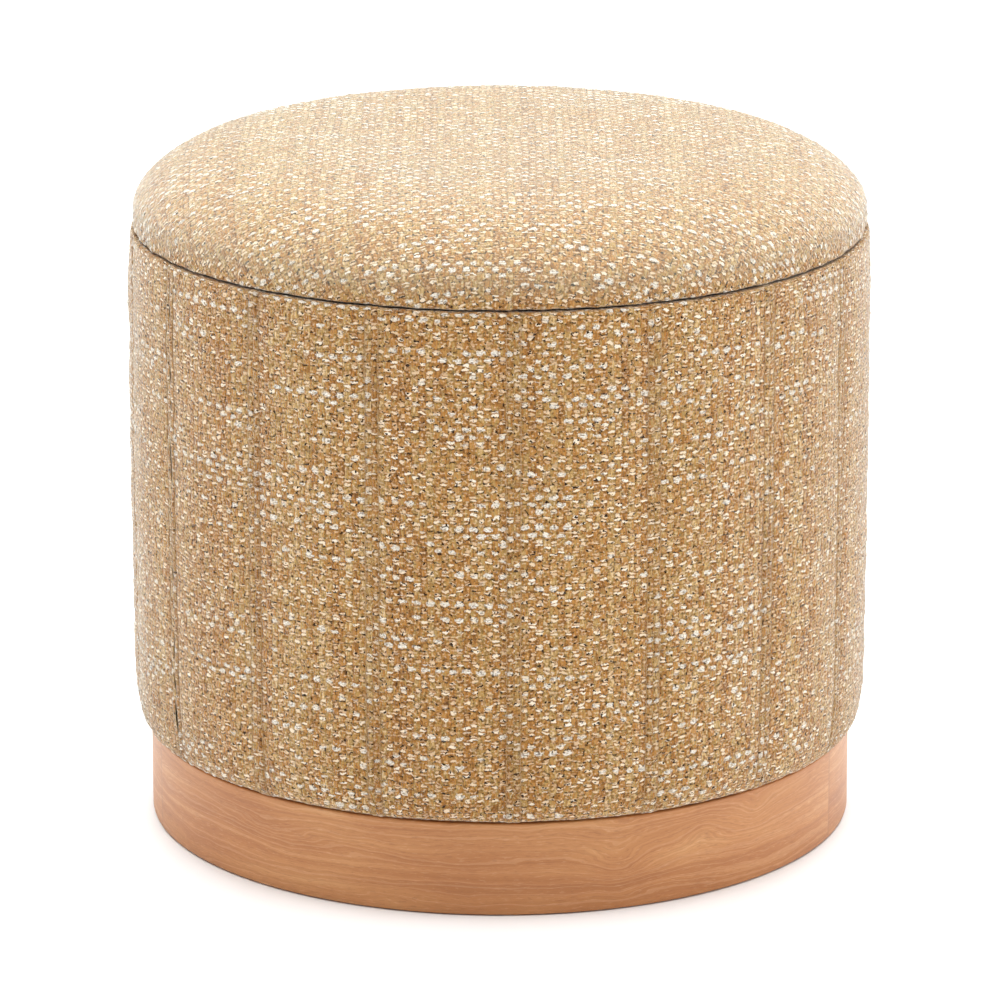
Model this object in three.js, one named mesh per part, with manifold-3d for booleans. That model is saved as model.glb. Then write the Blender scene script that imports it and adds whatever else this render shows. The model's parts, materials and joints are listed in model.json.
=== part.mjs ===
// Round storage ottoman with a lift-off lid.
// Millimetres, +Z up, origin at the centre of the underside, front along -Y.
import * as THREE from "three";
import { mergeVertices } from "three/addons/utils/BufferGeometryUtils.js";
import Module from "manifold-3d";

// ---- Driving dimensions -------------------------------------------------
const BODY_R = 225; // widest radius of the padded wall
const LID_R = 221.2; // widest radius of the lid
const HEIGHT = 417.6; // crown of the lid above the floor
const PLINTH_R = 214.2; // outer radius of the plinth ring
const PLINTH_T = 18; // radial thickness of the plinth ring
const PLINTH_TOP = 56.8; // top face of the plinth ring
const PLINTH_BOTTOM = 0.5; // underside of the plinth ring, held off the floor by the glides
const GLIDE_R = 5.8;
const GLIDE_T = 1.5; // set in a shallow pocket, standing PLINTH_BOTTOM proud
const GLIDE_PITCH_R = 207.1; // circle that the glides sit on
const GAP = 0.3; // assembly clearance between neighbouring pieces
const CLOTH_T = 2.0; // upholstery cloth with its backing
const BOARD_T = 12; // plywood boards and rings
const BOARD_R = 209.5; // bottom board, shell and top ring share this radius
const SHELL_T = 6; // bent plywood wall
const RIM_INNER_R = 190; // inner radius of the top ring
const RIM_TOP = 363.3; // top of the cloth that wraps the rim
const LID_BOARD_R = 212;
const LINING_T = 1.2;
const LOCATOR_R = 183; // outer radius of the locating ring under the lid
const LOCATOR_T = 12;
const LOCATOR_BOTTOM = 342;
const BLOCK_L = 40; // glue block, along the ring
const BLOCK_D = 21; // glue block, towards the centre
const SCREW_PITCH_R = 184; // circle of the plinth screws
const SIDES = 48; // facets round the axis, shared by every coaxial piece
const COUNT = 6; // glides, blocks and screws round the circle

// ---- Derived heights ----------------------------------------------------
const HEM_BOTTOM = PLINTH_TOP + GAP; // cloth turned under the bottom board
const BOARD_BOTTOM = HEM_BOTTOM + CLOTH_T + 0.2 + GAP;
const BOARD_TOP = BOARD_BOTTOM + BOARD_T;
const RING_TOP = RIM_TOP - CLOTH_T - GAP; // top ring, plywood
const RING_BOTTOM = RING_TOP - BOARD_T;
const LID_HEM_BOTTOM = RIM_TOP + GAP;
const LID_BOARD_BOTTOM = LID_HEM_BOTTOM + CLOTH_T + GAP;
const LID_BOARD_TOP = LID_BOARD_BOTTOM + BOARD_T;

// ---- Materials ----------------------------------------------------------
const mat = (color, roughness, metalness = 0) =>
  new THREE.MeshStandardMaterial({ color, roughness, metalness });
const CLOTH = mat(0xb8946c, 0.95);
const FOAM = mat(0xefe4b8, 0.9);
const VENEER = mat(0xb97e55, 0.5);
const PLY = mat(0xd2b48a, 0.7);
const PINE = mat(0xd9bd8e, 0.75);
const LINING = mat(0x8d7f6e, 0.95);
const DUST = mat(0x1d1d1f, 0.95);
const FELT = mat(0x6d6259, 1.0);
const STEEL = mat(0xa7a9ac, 0.35, 1);

const group = new THREE.Group();
const wasm = await Module();
wasm.setup();

function add(name, geometry, material, parent = group) {
  const mesh = new THREE.Mesh(geometry, material);
  mesh.name = name;
  parent.add(mesh);
  return mesh;
}

// Solid of revolution about Z from [r, z] points. A profile that touches the
// axis at both ends is closed by it; any other profile is closed here.
function revolve(points, sides = SIDES) {
  const p = points.map(([r, z]) => new THREE.Vector2(r, z));
  const onAxis = points[0][0] === 0 && points[points.length - 1][0] === 0;
  if (!onAxis) p.push(p[0].clone());
  const g = new THREE.LatheGeometry(p, sides);
  g.rotateX(Math.PI / 2);
  g.deleteAttribute("normal");
  g.deleteAttribute("uv");
  return g;
}

// Geometry to manifold and back, for cut-outs.
function solid(geometry) {
  const g = geometry.clone();
  g.deleteAttribute("normal");
  g.deleteAttribute("uv");
  const m = mergeVertices(g, 1e-4);
  return new wasm.Manifold(
    new wasm.Mesh({
      numProp: 3,
      vertProperties: new Float32Array(m.attributes.position.array),
      triVerts: new Uint32Array(m.index.array),
    }),
  );
}
function geometryOf(s) {
  const m = s.getMesh();
  const v = new Float32Array(m.numVert * 3);
  for (let i = 0; i < m.numVert; i++)
    v.set(
      m.vertProperties.subarray(i * m.numProp, i * m.numProp + 3),
      i * 3,
    );
  const g = new THREE.BufferGeometry();
  g.setAttribute("position", new THREE.BufferAttribute(v, 3));
  g.setIndex(new THREE.BufferAttribute(new Uint32Array(m.triVerts), 1));
  return g;
}
function rod(r, z0, z1, x, y, sides = 12) {
  const g = new THREE.CylinderGeometry(r, r, z1 - z0, sides);
  g.rotateX(Math.PI / 2);
  g.translate(x, y, (z0 + z1) / 2);
  return g;
}
const around = (i, offset = 0) => ((i + offset) / COUNT) * Math.PI * 2;

// Offsets a [r, z] polyline to its left by d.
function offset(points, d) {
  return points.map((p, i) => {
    const a = points[Math.max(0, i - 1)];
    const b = points[Math.min(points.length - 1, i + 1)];
    const l = Math.hypot(b[0] - a[0], b[1] - a[1]);
    return [p[0] - (d * (b[1] - a[1])) / l, p[1] + (d * (b[0] - a[0])) / l];
  });
}

// ---- Outer profiles, bottom to top --------------------------------------
const BODY_PROFILE = [
  [215.2, 57.9],
  [219.4, 63.6],
  [222.5, 74.0],
  [224.2, 90.0],
  [224.8, 130.0],
  [BODY_R, 200.0],
  [224.8, 261.0],
  [224.3, 322.0],
  [223.6, 345.0],
  [221.9, 355.0],
  [218.2, 361.0],
  [214.6, RIM_TOP],
];
const LID_PROFILE = [
  [214.8, LID_HEM_BOTTOM],
  [218.4, 366.0],
  [220.7, 373.0],
  [LID_R, 381.0],
  [217.6, 387.3],
  [209.2, 395.7],
  [200.3, 401.8],
  [188.1, 407.4],
  [171.4, 412.1],
  [146.3, 415.5],
  [93.8, 417.2],
  [0, HEIGHT],
];

// ---- Plinth -------------------------------------------------------------
const PLINTH_INNER = PLINTH_R - PLINTH_T;
const REBATE_R = PLINTH_INNER + 4; // step that takes the dust cover
let plinth = solid(
  revolve([
    [REBATE_R, PLINTH_BOTTOM],
    [PLINTH_R - 0.6, PLINTH_BOTTOM],
    [PLINTH_R, PLINTH_BOTTOM + 0.6],
    [PLINTH_R, PLINTH_TOP - 0.6],
    [PLINTH_R - 0.6, PLINTH_TOP],
    [PLINTH_INNER, PLINTH_TOP],
    [PLINTH_INNER, 4.2],
    [REBATE_R, 4.2],
  ]),
);
for (let i = 0; i < COUNT; i++)
  plinth = plinth.subtract(
    solid(
      rod(
        GLIDE_R + GAP,
        -5,
        GLIDE_T + GAP,
        Math.cos(around(i, 0.5)) * GLIDE_PITCH_R,
        Math.sin(around(i, 0.5)) * GLIDE_PITCH_R,
        16,
      ),
    ),
  );
add("plinth_ring", geometryOf(plinth), VENEER);
add(
  "dust_cover",
  revolve([
    [0, 2.8],
    [REBATE_R - 0.8, 2.8],
    [REBATE_R - 0.8, 3.9],
    [0, 3.9],
  ]),
  DUST,
);
for (let i = 0; i < COUNT; i++) {
  const a = around(i, 0.5);
  const glide = add(
    "felt_glide_" + (i + 1),
    rod(GLIDE_R, 0, GLIDE_T, 0, 0, 16),
    FELT,
  );
  glide.position.set(
    Math.cos(a) * GLIDE_PITCH_R,
    Math.sin(a) * GLIDE_PITCH_R,
    0,
  );
}

// Glue blocks behind the ring, each bored for one countersunk screw.
const BLOCK_OUT = 194.2;
const BLOCK_BOTTOM = 8;
const BLOCK_TOP = BOARD_BOTTOM - GAP;
for (let i = 0; i < COUNT; i++) {
  const block = new THREE.BoxGeometry(
    BLOCK_D,
    BLOCK_L,
    BLOCK_TOP - BLOCK_BOTTOM,
  );
  block.translate(
    BLOCK_OUT - BLOCK_D / 2,
    0,
    (BLOCK_TOP + BLOCK_BOTTOM) / 2,
  );
  const bored = solid(block)
    .subtract(solid(rod(2.6, 0, 80, SCREW_PITCH_R, 0, 12)))
    .subtract(solid(rod(5.2, 0, 24, SCREW_PITCH_R, 0, 12)));
  add("plinth_block_" + (i + 1), geometryOf(bored), PINE).rotation.z =
    around(i);
  const screw = new THREE.LatheGeometry(
    [
      [0, 19.6],
      [4.6, 19.6],
      [4.9, 21.4],
      [4.6, 23.7],
      [2.2, 23.7],
      [2.2, 66.0],
      [0.5, 68.4],
      [0, 68.4],
    ].map(([r, z]) => new THREE.Vector2(r, z)),
    12,
  );
  screw.rotateX(Math.PI / 2);
  screw.translate(SCREW_PITCH_R, 0, 0);
  add("plinth_screw_" + (i + 1), screw, STEEL).rotation.z = around(i);
}

// ---- Body frame ---------------------------------------------------------
let board = solid(
  revolve([
    [0, BOARD_BOTTOM],
    [BOARD_R, BOARD_BOTTOM],
    [BOARD_R, BOARD_TOP],
    [0, BOARD_TOP],
  ]),
);
for (let i = 0; i < COUNT; i++)
  board = board.subtract(
    solid(
      rod(
        2.5,
        50,
        69.2,
        Math.cos(around(i)) * SCREW_PITCH_R,
        Math.sin(around(i)) * SCREW_PITCH_R,
        12,
      ),
    ),
  );
add("bottom_board", geometryOf(board), PLY);

add(
  "drum_shell",
  revolve([
    [BOARD_R - SHELL_T, BOARD_TOP + GAP],
    [BOARD_R, BOARD_TOP + GAP],
    [BOARD_R, RING_BOTTOM - GAP],
    [BOARD_R - SHELL_T, RING_BOTTOM - GAP],
  ]),
  PLY,
);
add(
  "top_ring",
  revolve([
    [RIM_INNER_R, RING_BOTTOM],
    [BOARD_R, RING_BOTTOM],
    [BOARD_R, RING_TOP],
    [RIM_INNER_R, RING_TOP],
  ]),
  PLY,
);

// ---- Wall padding, cover and linings ------------------------------------
const BODY_CORE = [1, 3, 5, 7, 9, 10].map((i) => BODY_PROFILE[i]);
const FOAM_OUTER = offset(BODY_CORE, CLOTH_T + GAP);
add(
  "side_foam",
  revolve([
    [BOARD_R + GAP, FOAM_OUTER[0][1]],
    ...FOAM_OUTER,
    [FOAM_OUTER[FOAM_OUTER.length - 1][0] - 3.5, RING_TOP],
    [BOARD_R + GAP, RING_TOP],
  ]),
  FOAM,
);
const COVER_INNER = offset(BODY_CORE, CLOTH_T);
add(
  "side_cover",
  revolve([
    [199, HEM_BOTTOM],
    ...BODY_PROFILE,
    [RIM_INNER_R - CLOTH_T + 0.6, RIM_TOP],
    [RIM_INNER_R - CLOTH_T - GAP, RIM_TOP - 1.2],
    [RIM_INNER_R - CLOTH_T - GAP, RING_BOTTOM - CLOTH_T - GAP],
    [198, RING_BOTTOM - CLOTH_T - GAP],
    [198, RING_BOTTOM - GAP],
    [RIM_INNER_R - GAP, RING_BOTTOM - GAP],
    [RIM_INNER_R - GAP, RING_TOP + GAP],
    [214.4, RING_TOP + GAP],
    ...COVER_INNER.slice().reverse(),
    [214.2, HEM_BOTTOM + CLOTH_T],
    [199, HEM_BOTTOM + CLOTH_T],
  ]),
  CLOTH,
);
const LINING_R = BOARD_R - SHELL_T - GAP;
add(
  "side_lining",
  revolve([
    [LINING_R - LINING_T, BOARD_TOP + GAP],
    [LINING_R, BOARD_TOP + GAP],
    [LINING_R, RING_BOTTOM - GAP],
    [LINING_R - LINING_T, RING_BOTTOM - GAP],
  ]),
  LINING,
);
add(
  "floor_lining",
  revolve([
    [0, BOARD_TOP + GAP],
    [LINING_R - LINING_T - GAP, BOARD_TOP + GAP],
    [LINING_R - LINING_T - GAP, BOARD_TOP + GAP + LINING_T],
    [0, BOARD_TOP + GAP + LINING_T],
  ]),
  LINING,
);

// ---- Lid ----------------------------------------------------------------
const LID_SCREW_R = LOCATOR_R - LOCATOR_T / 2;
let lidBoard = solid(
  revolve([
    [0, LID_BOARD_BOTTOM],
    [LID_BOARD_R, LID_BOARD_BOTTOM],
    [LID_BOARD_R, LID_BOARD_TOP],
    [0, LID_BOARD_TOP],
  ]),
);
let lidLining = solid(
  revolve([
    [0, LID_BOARD_BOTTOM - GAP - LINING_T],
    [191, LID_BOARD_BOTTOM - GAP - LINING_T],
    [191, LID_BOARD_BOTTOM - GAP],
    [0, LID_BOARD_BOTTOM - GAP],
  ]),
);
const LOCATOR_TOP = LID_BOARD_BOTTOM - GAP - LINING_T - GAP;
let locator = solid(
  revolve([
    [LOCATOR_R - LOCATOR_T, LOCATOR_BOTTOM],
    [LOCATOR_R - 1.5, LOCATOR_BOTTOM],
    [LOCATOR_R, LOCATOR_BOTTOM + 1.5],
    [LOCATOR_R, LOCATOR_TOP],
    [LOCATOR_R - LOCATOR_T, LOCATOR_TOP],
  ]),
);
for (let i = 0; i < COUNT; i++) {
  const a = around(i, 0.5);
  const x = Math.cos(a) * LID_SCREW_R;
  const y = Math.sin(a) * LID_SCREW_R;
  lidBoard = lidBoard.subtract(solid(rod(2.1, 350, 372.6, x, y, 8)));
  lidLining = lidLining.subtract(solid(rod(2.1, 350, 380, x, y, 8)));
  locator = locator
    .subtract(solid(rod(2.1, 330, 380, x, y, 8)))
    .subtract(solid(rod(3.9, 330, 346, x, y, 8)));
  const screw = new THREE.LatheGeometry(
    [
      [0, 343.0],
      [3.2, 343.0],
      [3.5, 344.2],
      [3.3, 345.7],
      [1.7, 345.7],
      [1.7, 370.0],
      [0.4, 372.0],
      [0, 372.0],
    ].map(([r, z]) => new THREE.Vector2(r, z)),
    8,
  );
  screw.rotateX(Math.PI / 2);
  screw.translate(LID_SCREW_R, 0, 0);
  add("lid_screw_" + (i + 1), screw, STEEL).rotation.z = a;
}
add("lid_board", geometryOf(lidBoard), PLY);
add("lid_lining", geometryOf(lidLining), LINING);
add("lid_locating_ring", geometryOf(locator), PLY);

const LID_CORE = [1, 2, 3, 4, 5, 7, 9, 10].map((i) => LID_PROFILE[i]);
const LID_FOAM_OUTER = offset(LID_CORE, CLOTH_T + GAP);
add(
  "lid_foam",
  revolve([
    [0, LID_BOARD_TOP + GAP],
    [LID_BOARD_R + GAP, LID_BOARD_TOP + GAP],
    [LID_BOARD_R + GAP, LID_BOARD_BOTTOM + 0.4],
    [LID_FOAM_OUTER[0][0] - 0.6, LID_BOARD_BOTTOM + 0.4],
    ...LID_FOAM_OUTER,
    [0, HEIGHT - CLOTH_T - GAP],
  ]),
  FOAM,
);
const LID_INNER = offset(LID_CORE, CLOTH_T);
add(
  "lid_cover",
  revolve([
    [192, LID_HEM_BOTTOM],
    ...LID_PROFILE,
    [0, HEIGHT - CLOTH_T],
    ...LID_INNER.slice().reverse(),
    [214.6, LID_HEM_BOTTOM + CLOTH_T],
    [192, LID_HEM_BOTTOM + CLOTH_T],
  ]),
  CLOTH,
);

export default group;
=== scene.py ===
import json
import math

import bpy
import numpy as np
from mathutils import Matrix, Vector

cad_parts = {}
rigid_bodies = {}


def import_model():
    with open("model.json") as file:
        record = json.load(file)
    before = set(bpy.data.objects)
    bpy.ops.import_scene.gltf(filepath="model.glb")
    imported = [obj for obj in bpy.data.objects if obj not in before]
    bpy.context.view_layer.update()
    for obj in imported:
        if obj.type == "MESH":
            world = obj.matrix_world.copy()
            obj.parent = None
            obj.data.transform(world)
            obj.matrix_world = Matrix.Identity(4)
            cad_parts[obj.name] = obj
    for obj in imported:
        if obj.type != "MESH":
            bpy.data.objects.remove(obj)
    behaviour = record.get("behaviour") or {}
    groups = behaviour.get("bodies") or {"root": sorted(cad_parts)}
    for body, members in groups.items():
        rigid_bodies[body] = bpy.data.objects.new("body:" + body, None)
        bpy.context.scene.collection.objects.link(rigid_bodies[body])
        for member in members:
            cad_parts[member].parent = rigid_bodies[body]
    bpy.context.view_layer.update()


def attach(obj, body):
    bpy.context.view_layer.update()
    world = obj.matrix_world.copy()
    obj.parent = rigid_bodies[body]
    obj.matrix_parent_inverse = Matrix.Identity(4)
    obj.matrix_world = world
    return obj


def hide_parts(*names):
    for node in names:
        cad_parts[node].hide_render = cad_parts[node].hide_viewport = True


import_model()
MM = 0.001
scene = bpy.context.scene

# ------------------------------------------------------------------ camera
PITCH = 15.98
cam_data = bpy.data.cameras.new("camera")
cam_data.sensor_width = 36.0
cam_data.lens = 203.05
cam_data.shift_y = -0.0251
cam_data.clip_start, cam_data.clip_end = 0.05, 60.0
camera = bpy.data.objects.new("camera", cam_data)
camera.location = (0.0, -3.303, 1.152)
camera.rotation_euler = (math.radians(90.0 - PITCH), 0.0, 0.0)
scene.collection.objects.link(camera)
scene.camera = camera
scene.view_settings.view_transform = "Standard"
scene.view_settings.look = "None"


# ------------------------------------------------------------------ helpers
def srgb(r, g, b, a=1.0):
    """0..255 display colour to scene linear."""
    def f(c):
        c = c / 255.0
        return c / 12.92 if c <= 0.04045 else ((c + 0.055) / 1.055) ** 2.4
    return (f(r), f(g), f(b), a)


def make_object(name, verts, faces, material, uv=None, attrs=None, smooth=True):
    """verts in mm, faces a list of integer arrays of shape (n, 3) or (n, 4), uv a list of per-corner arrays that match faces."""
    me = bpy.data.meshes.new(name)
    verts = np.asarray(verts, float)
    faces = [np.asarray(f, np.int32) for f in faces if len(f)]
    loops = np.concatenate([f.ravel() for f in faces])
    totals = np.concatenate([np.full(len(f), f.shape[1], np.int32) for f in faces])
    starts = np.concatenate([[0], np.cumsum(totals)[:-1]]).astype(np.int32)
    me.vertices.add(len(verts))
    me.vertices.foreach_set("co", (verts * MM).astype(np.float32).ravel())
    me.loops.add(len(loops))
    me.loops.foreach_set("vertex_index", loops)
    me.polygons.add(len(totals))
    me.polygons.foreach_set("loop_start", starts)
    me.update(calc_edges=True)
    me.polygons.foreach_set("use_smooth", np.full(len(totals), smooth))
    if uv is not None:
        layer = me.uv_layers.new(name="Pattern")
        layer.data.foreach_set("uv", np.concatenate([np.asarray(x, np.float32).reshape(-1) for x in uv]))
    for key, values in (attrs or {}).items():
        a = me.attributes.new(key, "FLOAT", "POINT")
        a.data.foreach_set("value", np.asarray(values, np.float32))
    me.materials.append(material)
    ob = bpy.data.objects.new(name, me)
    scene.collection.objects.link(ob)
    return ob


def grid_faces(n_rows, n_cols, wrap=False):
    """Quads of a grid of vertices stored row by row. Row index goes up the first axis."""
    cols = n_cols if wrap else n_cols - 1
    i, j = np.meshgrid(np.arange(n_rows - 1), np.arange(cols), indexing="ij")
    j2 = (j + 1) % n_cols
    a = i * n_cols + j
    b = i * n_cols + j2
    c = (i + 1) * n_cols + j2
    d = (i + 1) * n_cols + j
    return np.stack([a, b, c, d], -1).reshape(-1, 4)


def dense(points, step=0.4, smooth=1.6):
    """A [r, z] polyline resampled evenly, its corners rounded by a Gaussian of the given width in mm."""
    p = np.asarray(points, float)
    s = np.concatenate([[0], np.cumsum(np.hypot(*np.diff(p, axis=0).T))])
    n = int(s[-1] / step) + 1
    t = np.linspace(0, s[-1], n)
    q = np.stack([np.interp(t, s, p[:, k]) for k in (0, 1)], 1)
    if smooth > 0:
        half = int(4 * smooth / step)
        kernel = np.exp(-0.5 * (np.arange(-half, half + 1) * step / smooth) ** 2)
        kernel /= kernel.sum()
        padded = np.concatenate([2 * q[:1] - q[half:0:-1], q, 2 * q[-1:] - q[-2:-half - 2:-1]])
        q = np.stack([np.convolve(padded[:, k], kernel, "valid") for k in (0, 1)], 1)
    s = np.concatenate([[0], np.cumsum(np.hypot(*np.diff(q, axis=0).T))])
    return s, q


def along(s_dense, q, s):
    """Points and outward normals (to the right of the path) at arc lengths s."""
    r = np.interp(s, s_dense, q[:, 0])
    z = np.interp(s, s_dense, q[:, 1])
    e = 0.6
    dr = np.interp(s + e, s_dense, q[:, 0]) - np.interp(s - e, s_dense, q[:, 0])
    dz = np.interp(s + e, s_dense, q[:, 1]) - np.interp(s - e, s_dense, q[:, 1])
    length = np.maximum(np.hypot(dr, dz), 1e-9)
    return r, z, dz / length, -dr / length


def lattice_noise(x, y, seed, octaves=3):
    """Smooth value noise, about -1 to 1, on arrays of any shape."""
    total, weight = 0.0, 0.0
    for o in range(octaves):
        k = 2.0 ** o
        table = np.random.default_rng(seed + 31 * o).uniform(-1, 1, (64, 64))
        xx, yy = x * k + 13.7 * o, y * k + 5.3 * o
        xi, yi = np.floor(xx).astype(int), np.floor(yy).astype(int)
        fx, fy = xx - xi, yy - yi
        fx, fy = fx * fx * (3 - 2 * fx), fy * fy * (3 - 2 * fy)
        a = table[xi % 64, yi % 64]
        b = table[(xi + 1) % 64, yi % 64]
        c = table[xi % 64, (yi + 1) % 64]
        d = table[(xi + 1) % 64, (yi + 1) % 64]
        total = total + ((a * (1 - fx) + b * fx) * (1 - fy) + (c * (1 - fx) + d * fx) * fy) / k
        weight += 1 / k
    return total / weight


class Nodes:
    """Short names for building a material's node tree."""

    def __init__(self, name):
        self.mat = bpy.data.materials.new(name)
        self.mat.use_nodes = True
        self.nt = self.mat.node_tree
        self.nt.nodes.clear()
        self.out = self.nt.nodes.new("ShaderNodeOutputMaterial")
        self.bsdf = self.nt.nodes.new("ShaderNodeBsdfPrincipled")
        self.nt.links.new(self.bsdf.outputs[0], self.out.inputs[0])

    def put(self, socket, value):
        if isinstance(value, bpy.types.NodeSocket):
            self.nt.links.new(value, socket)
        elif value is not None:
            socket.default_value = value

    def m(self, op, a, b=None, c=None, clamp=False):
        n = self.nt.nodes.new("ShaderNodeMath")
        n.operation = op
        n.use_clamp = clamp
        for i, x in enumerate((a, b, c)):
            if x is not None:
                self.put(n.inputs[i], x)
        return n.outputs[0]

    def add(self, a, b):
        return self.m("ADD", a, b)

    def sub(self, a, b):
        return self.m("SUBTRACT", a, b)

    def mul(self, a, b):
        return self.m("MULTIPLY", a, b)

    def step(self, x, lo, hi):
        """Smooth step from lo to hi."""
        n = self.nt.nodes.new("ShaderNodeMapRange")
        n.interpolation_type = "SMOOTHSTEP"
        self.put(n.inputs[0], x)
        n.inputs[1].default_value, n.inputs[2].default_value = lo, hi
        n.inputs[3].default_value, n.inputs[4].default_value = 0.0, 1.0
        return n.outputs[0]

    def lin(self, x, a, b, c, d):
        n = self.nt.nodes.new("ShaderNodeMapRange")
        self.put(n.inputs[0], x)
        for i, v in enumerate((a, b, c, d)):
            self.put(n.inputs[i + 1], v)
        return n.outputs[0]

    def xyz(self, x=0.0, y=0.0, z=0.0):
        n = self.nt.nodes.new("ShaderNodeCombineXYZ")
        for i, v in enumerate((x, y, z)):
            self.put(n.inputs[i], v)
        return n.outputs[0]

    def split(self, v):
        n = self.nt.nodes.new("ShaderNodeSeparateXYZ")
        self.put(n.inputs[0], v)
        return n.outputs

    def uv(self, name="Pattern"):
        n = self.nt.nodes.new("ShaderNodeUVMap")
        n.uv_map = name
        return n.outputs[0]

    def position(self):
        return self.nt.nodes.new("ShaderNodeTexCoord").outputs["Object"]

    def attribute(self, name):
        n = self.nt.nodes.new("ShaderNodeAttribute")
        n.attribute_name = name
        return n.outputs["Fac"]

    def noise(self, vec, scale=1.0, detail=2.0, rough=0.5, color=False):
        n = self.nt.nodes.new("ShaderNodeTexNoise")
        self.put(n.inputs["Vector"], vec)
        n.inputs["Scale"].default_value = scale
        n.inputs["Detail"].default_value = detail
        n.inputs["Roughness"].default_value = rough
        return n.outputs["Color" if color else "Fac"]

    def white(self, vec):
        n = self.nt.nodes.new("ShaderNodeTexWhiteNoise")
        n.noise_dimensions = "3D"
        self.put(n.inputs["Vector"], vec)
        return n.outputs["Value"]

    def voronoi(self, vec, scale, feature="F1", out="Distance"):
        n = self.nt.nodes.new("ShaderNodeTexVoronoi")
        n.feature = feature
        self.put(n.inputs["Vector"], vec)
        n.inputs["Scale"].default_value = scale
        return n.outputs[out]

    def mix(self, f, a, b, mode="MIX"):
        n = self.nt.nodes.new("ShaderNodeMix")
        n.data_type = "RGBA"
        n.blend_type = mode
        self.put(n.inputs[0], f)
        self.put(n.inputs[6], a)
        self.put(n.inputs[7], b)
        return n.outputs[2]

    def fmix(self, f, a, b):
        n = self.nt.nodes.new("ShaderNodeMix")
        n.data_type = "FLOAT"
        self.put(n.inputs[0], f)
        self.put(n.inputs[2], a)
        self.put(n.inputs[3], b)
        return n.outputs[0]

    def ramp(self, f, stops, constant=False):
        n = self.nt.nodes.new("ShaderNodeValToRGB")
        n.color_ramp.interpolation = "CONSTANT" if constant else "LINEAR"
        e = n.color_ramp.elements
        while len(e) > 1:
            e.remove(e[-1])
        e[0].position, e[0].color = stops[0]
        for pos, col in stops[1:]:
            x = e.new(pos)
            x.color = col
        self.put(n.inputs[0], f)
        return n.outputs[0]

    def bump(self, height, distance_mm, strength=1.0, normal=None):
        n = self.nt.nodes.new("ShaderNodeBump")
        n.inputs["Strength"].default_value = strength
        n.inputs["Distance"].default_value = distance_mm * MM
        self.put(n.inputs["Height"], height)
        if normal is not None:
            self.put(n.inputs["Normal"], normal)
        return n.outputs[0]

    def finish(self, color, rough, normal=None, sheen=0.0, sheen_rough=0.5, sheen_tint=(1, 1, 1, 1), spec=0.5, metallic=0.0, coat=0.0, coat_rough=0.1):
        b = self.bsdf.inputs
        self.put(b["Base Color"], color)
        self.put(b["Roughness"], rough)
        if normal is not None:
            self.put(b["Normal"], normal)
        b["Sheen Weight"].default_value = sheen
        b["Sheen Roughness"].default_value = sheen_rough
        b["Sheen Tint"].default_value = sheen_tint
        b["Specular IOR Level"].default_value = spec
        b["Metallic"].default_value = metallic
        b["Coat Weight"].default_value = coat
        b["Coat Roughness"].default_value = coat_rough
        return self.mat


# ------------------------------------------------------------------ cloth
COL_MM = 4.2  # one warp bundle
ROW_MM = 4.5  # one shed of two picks


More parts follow.
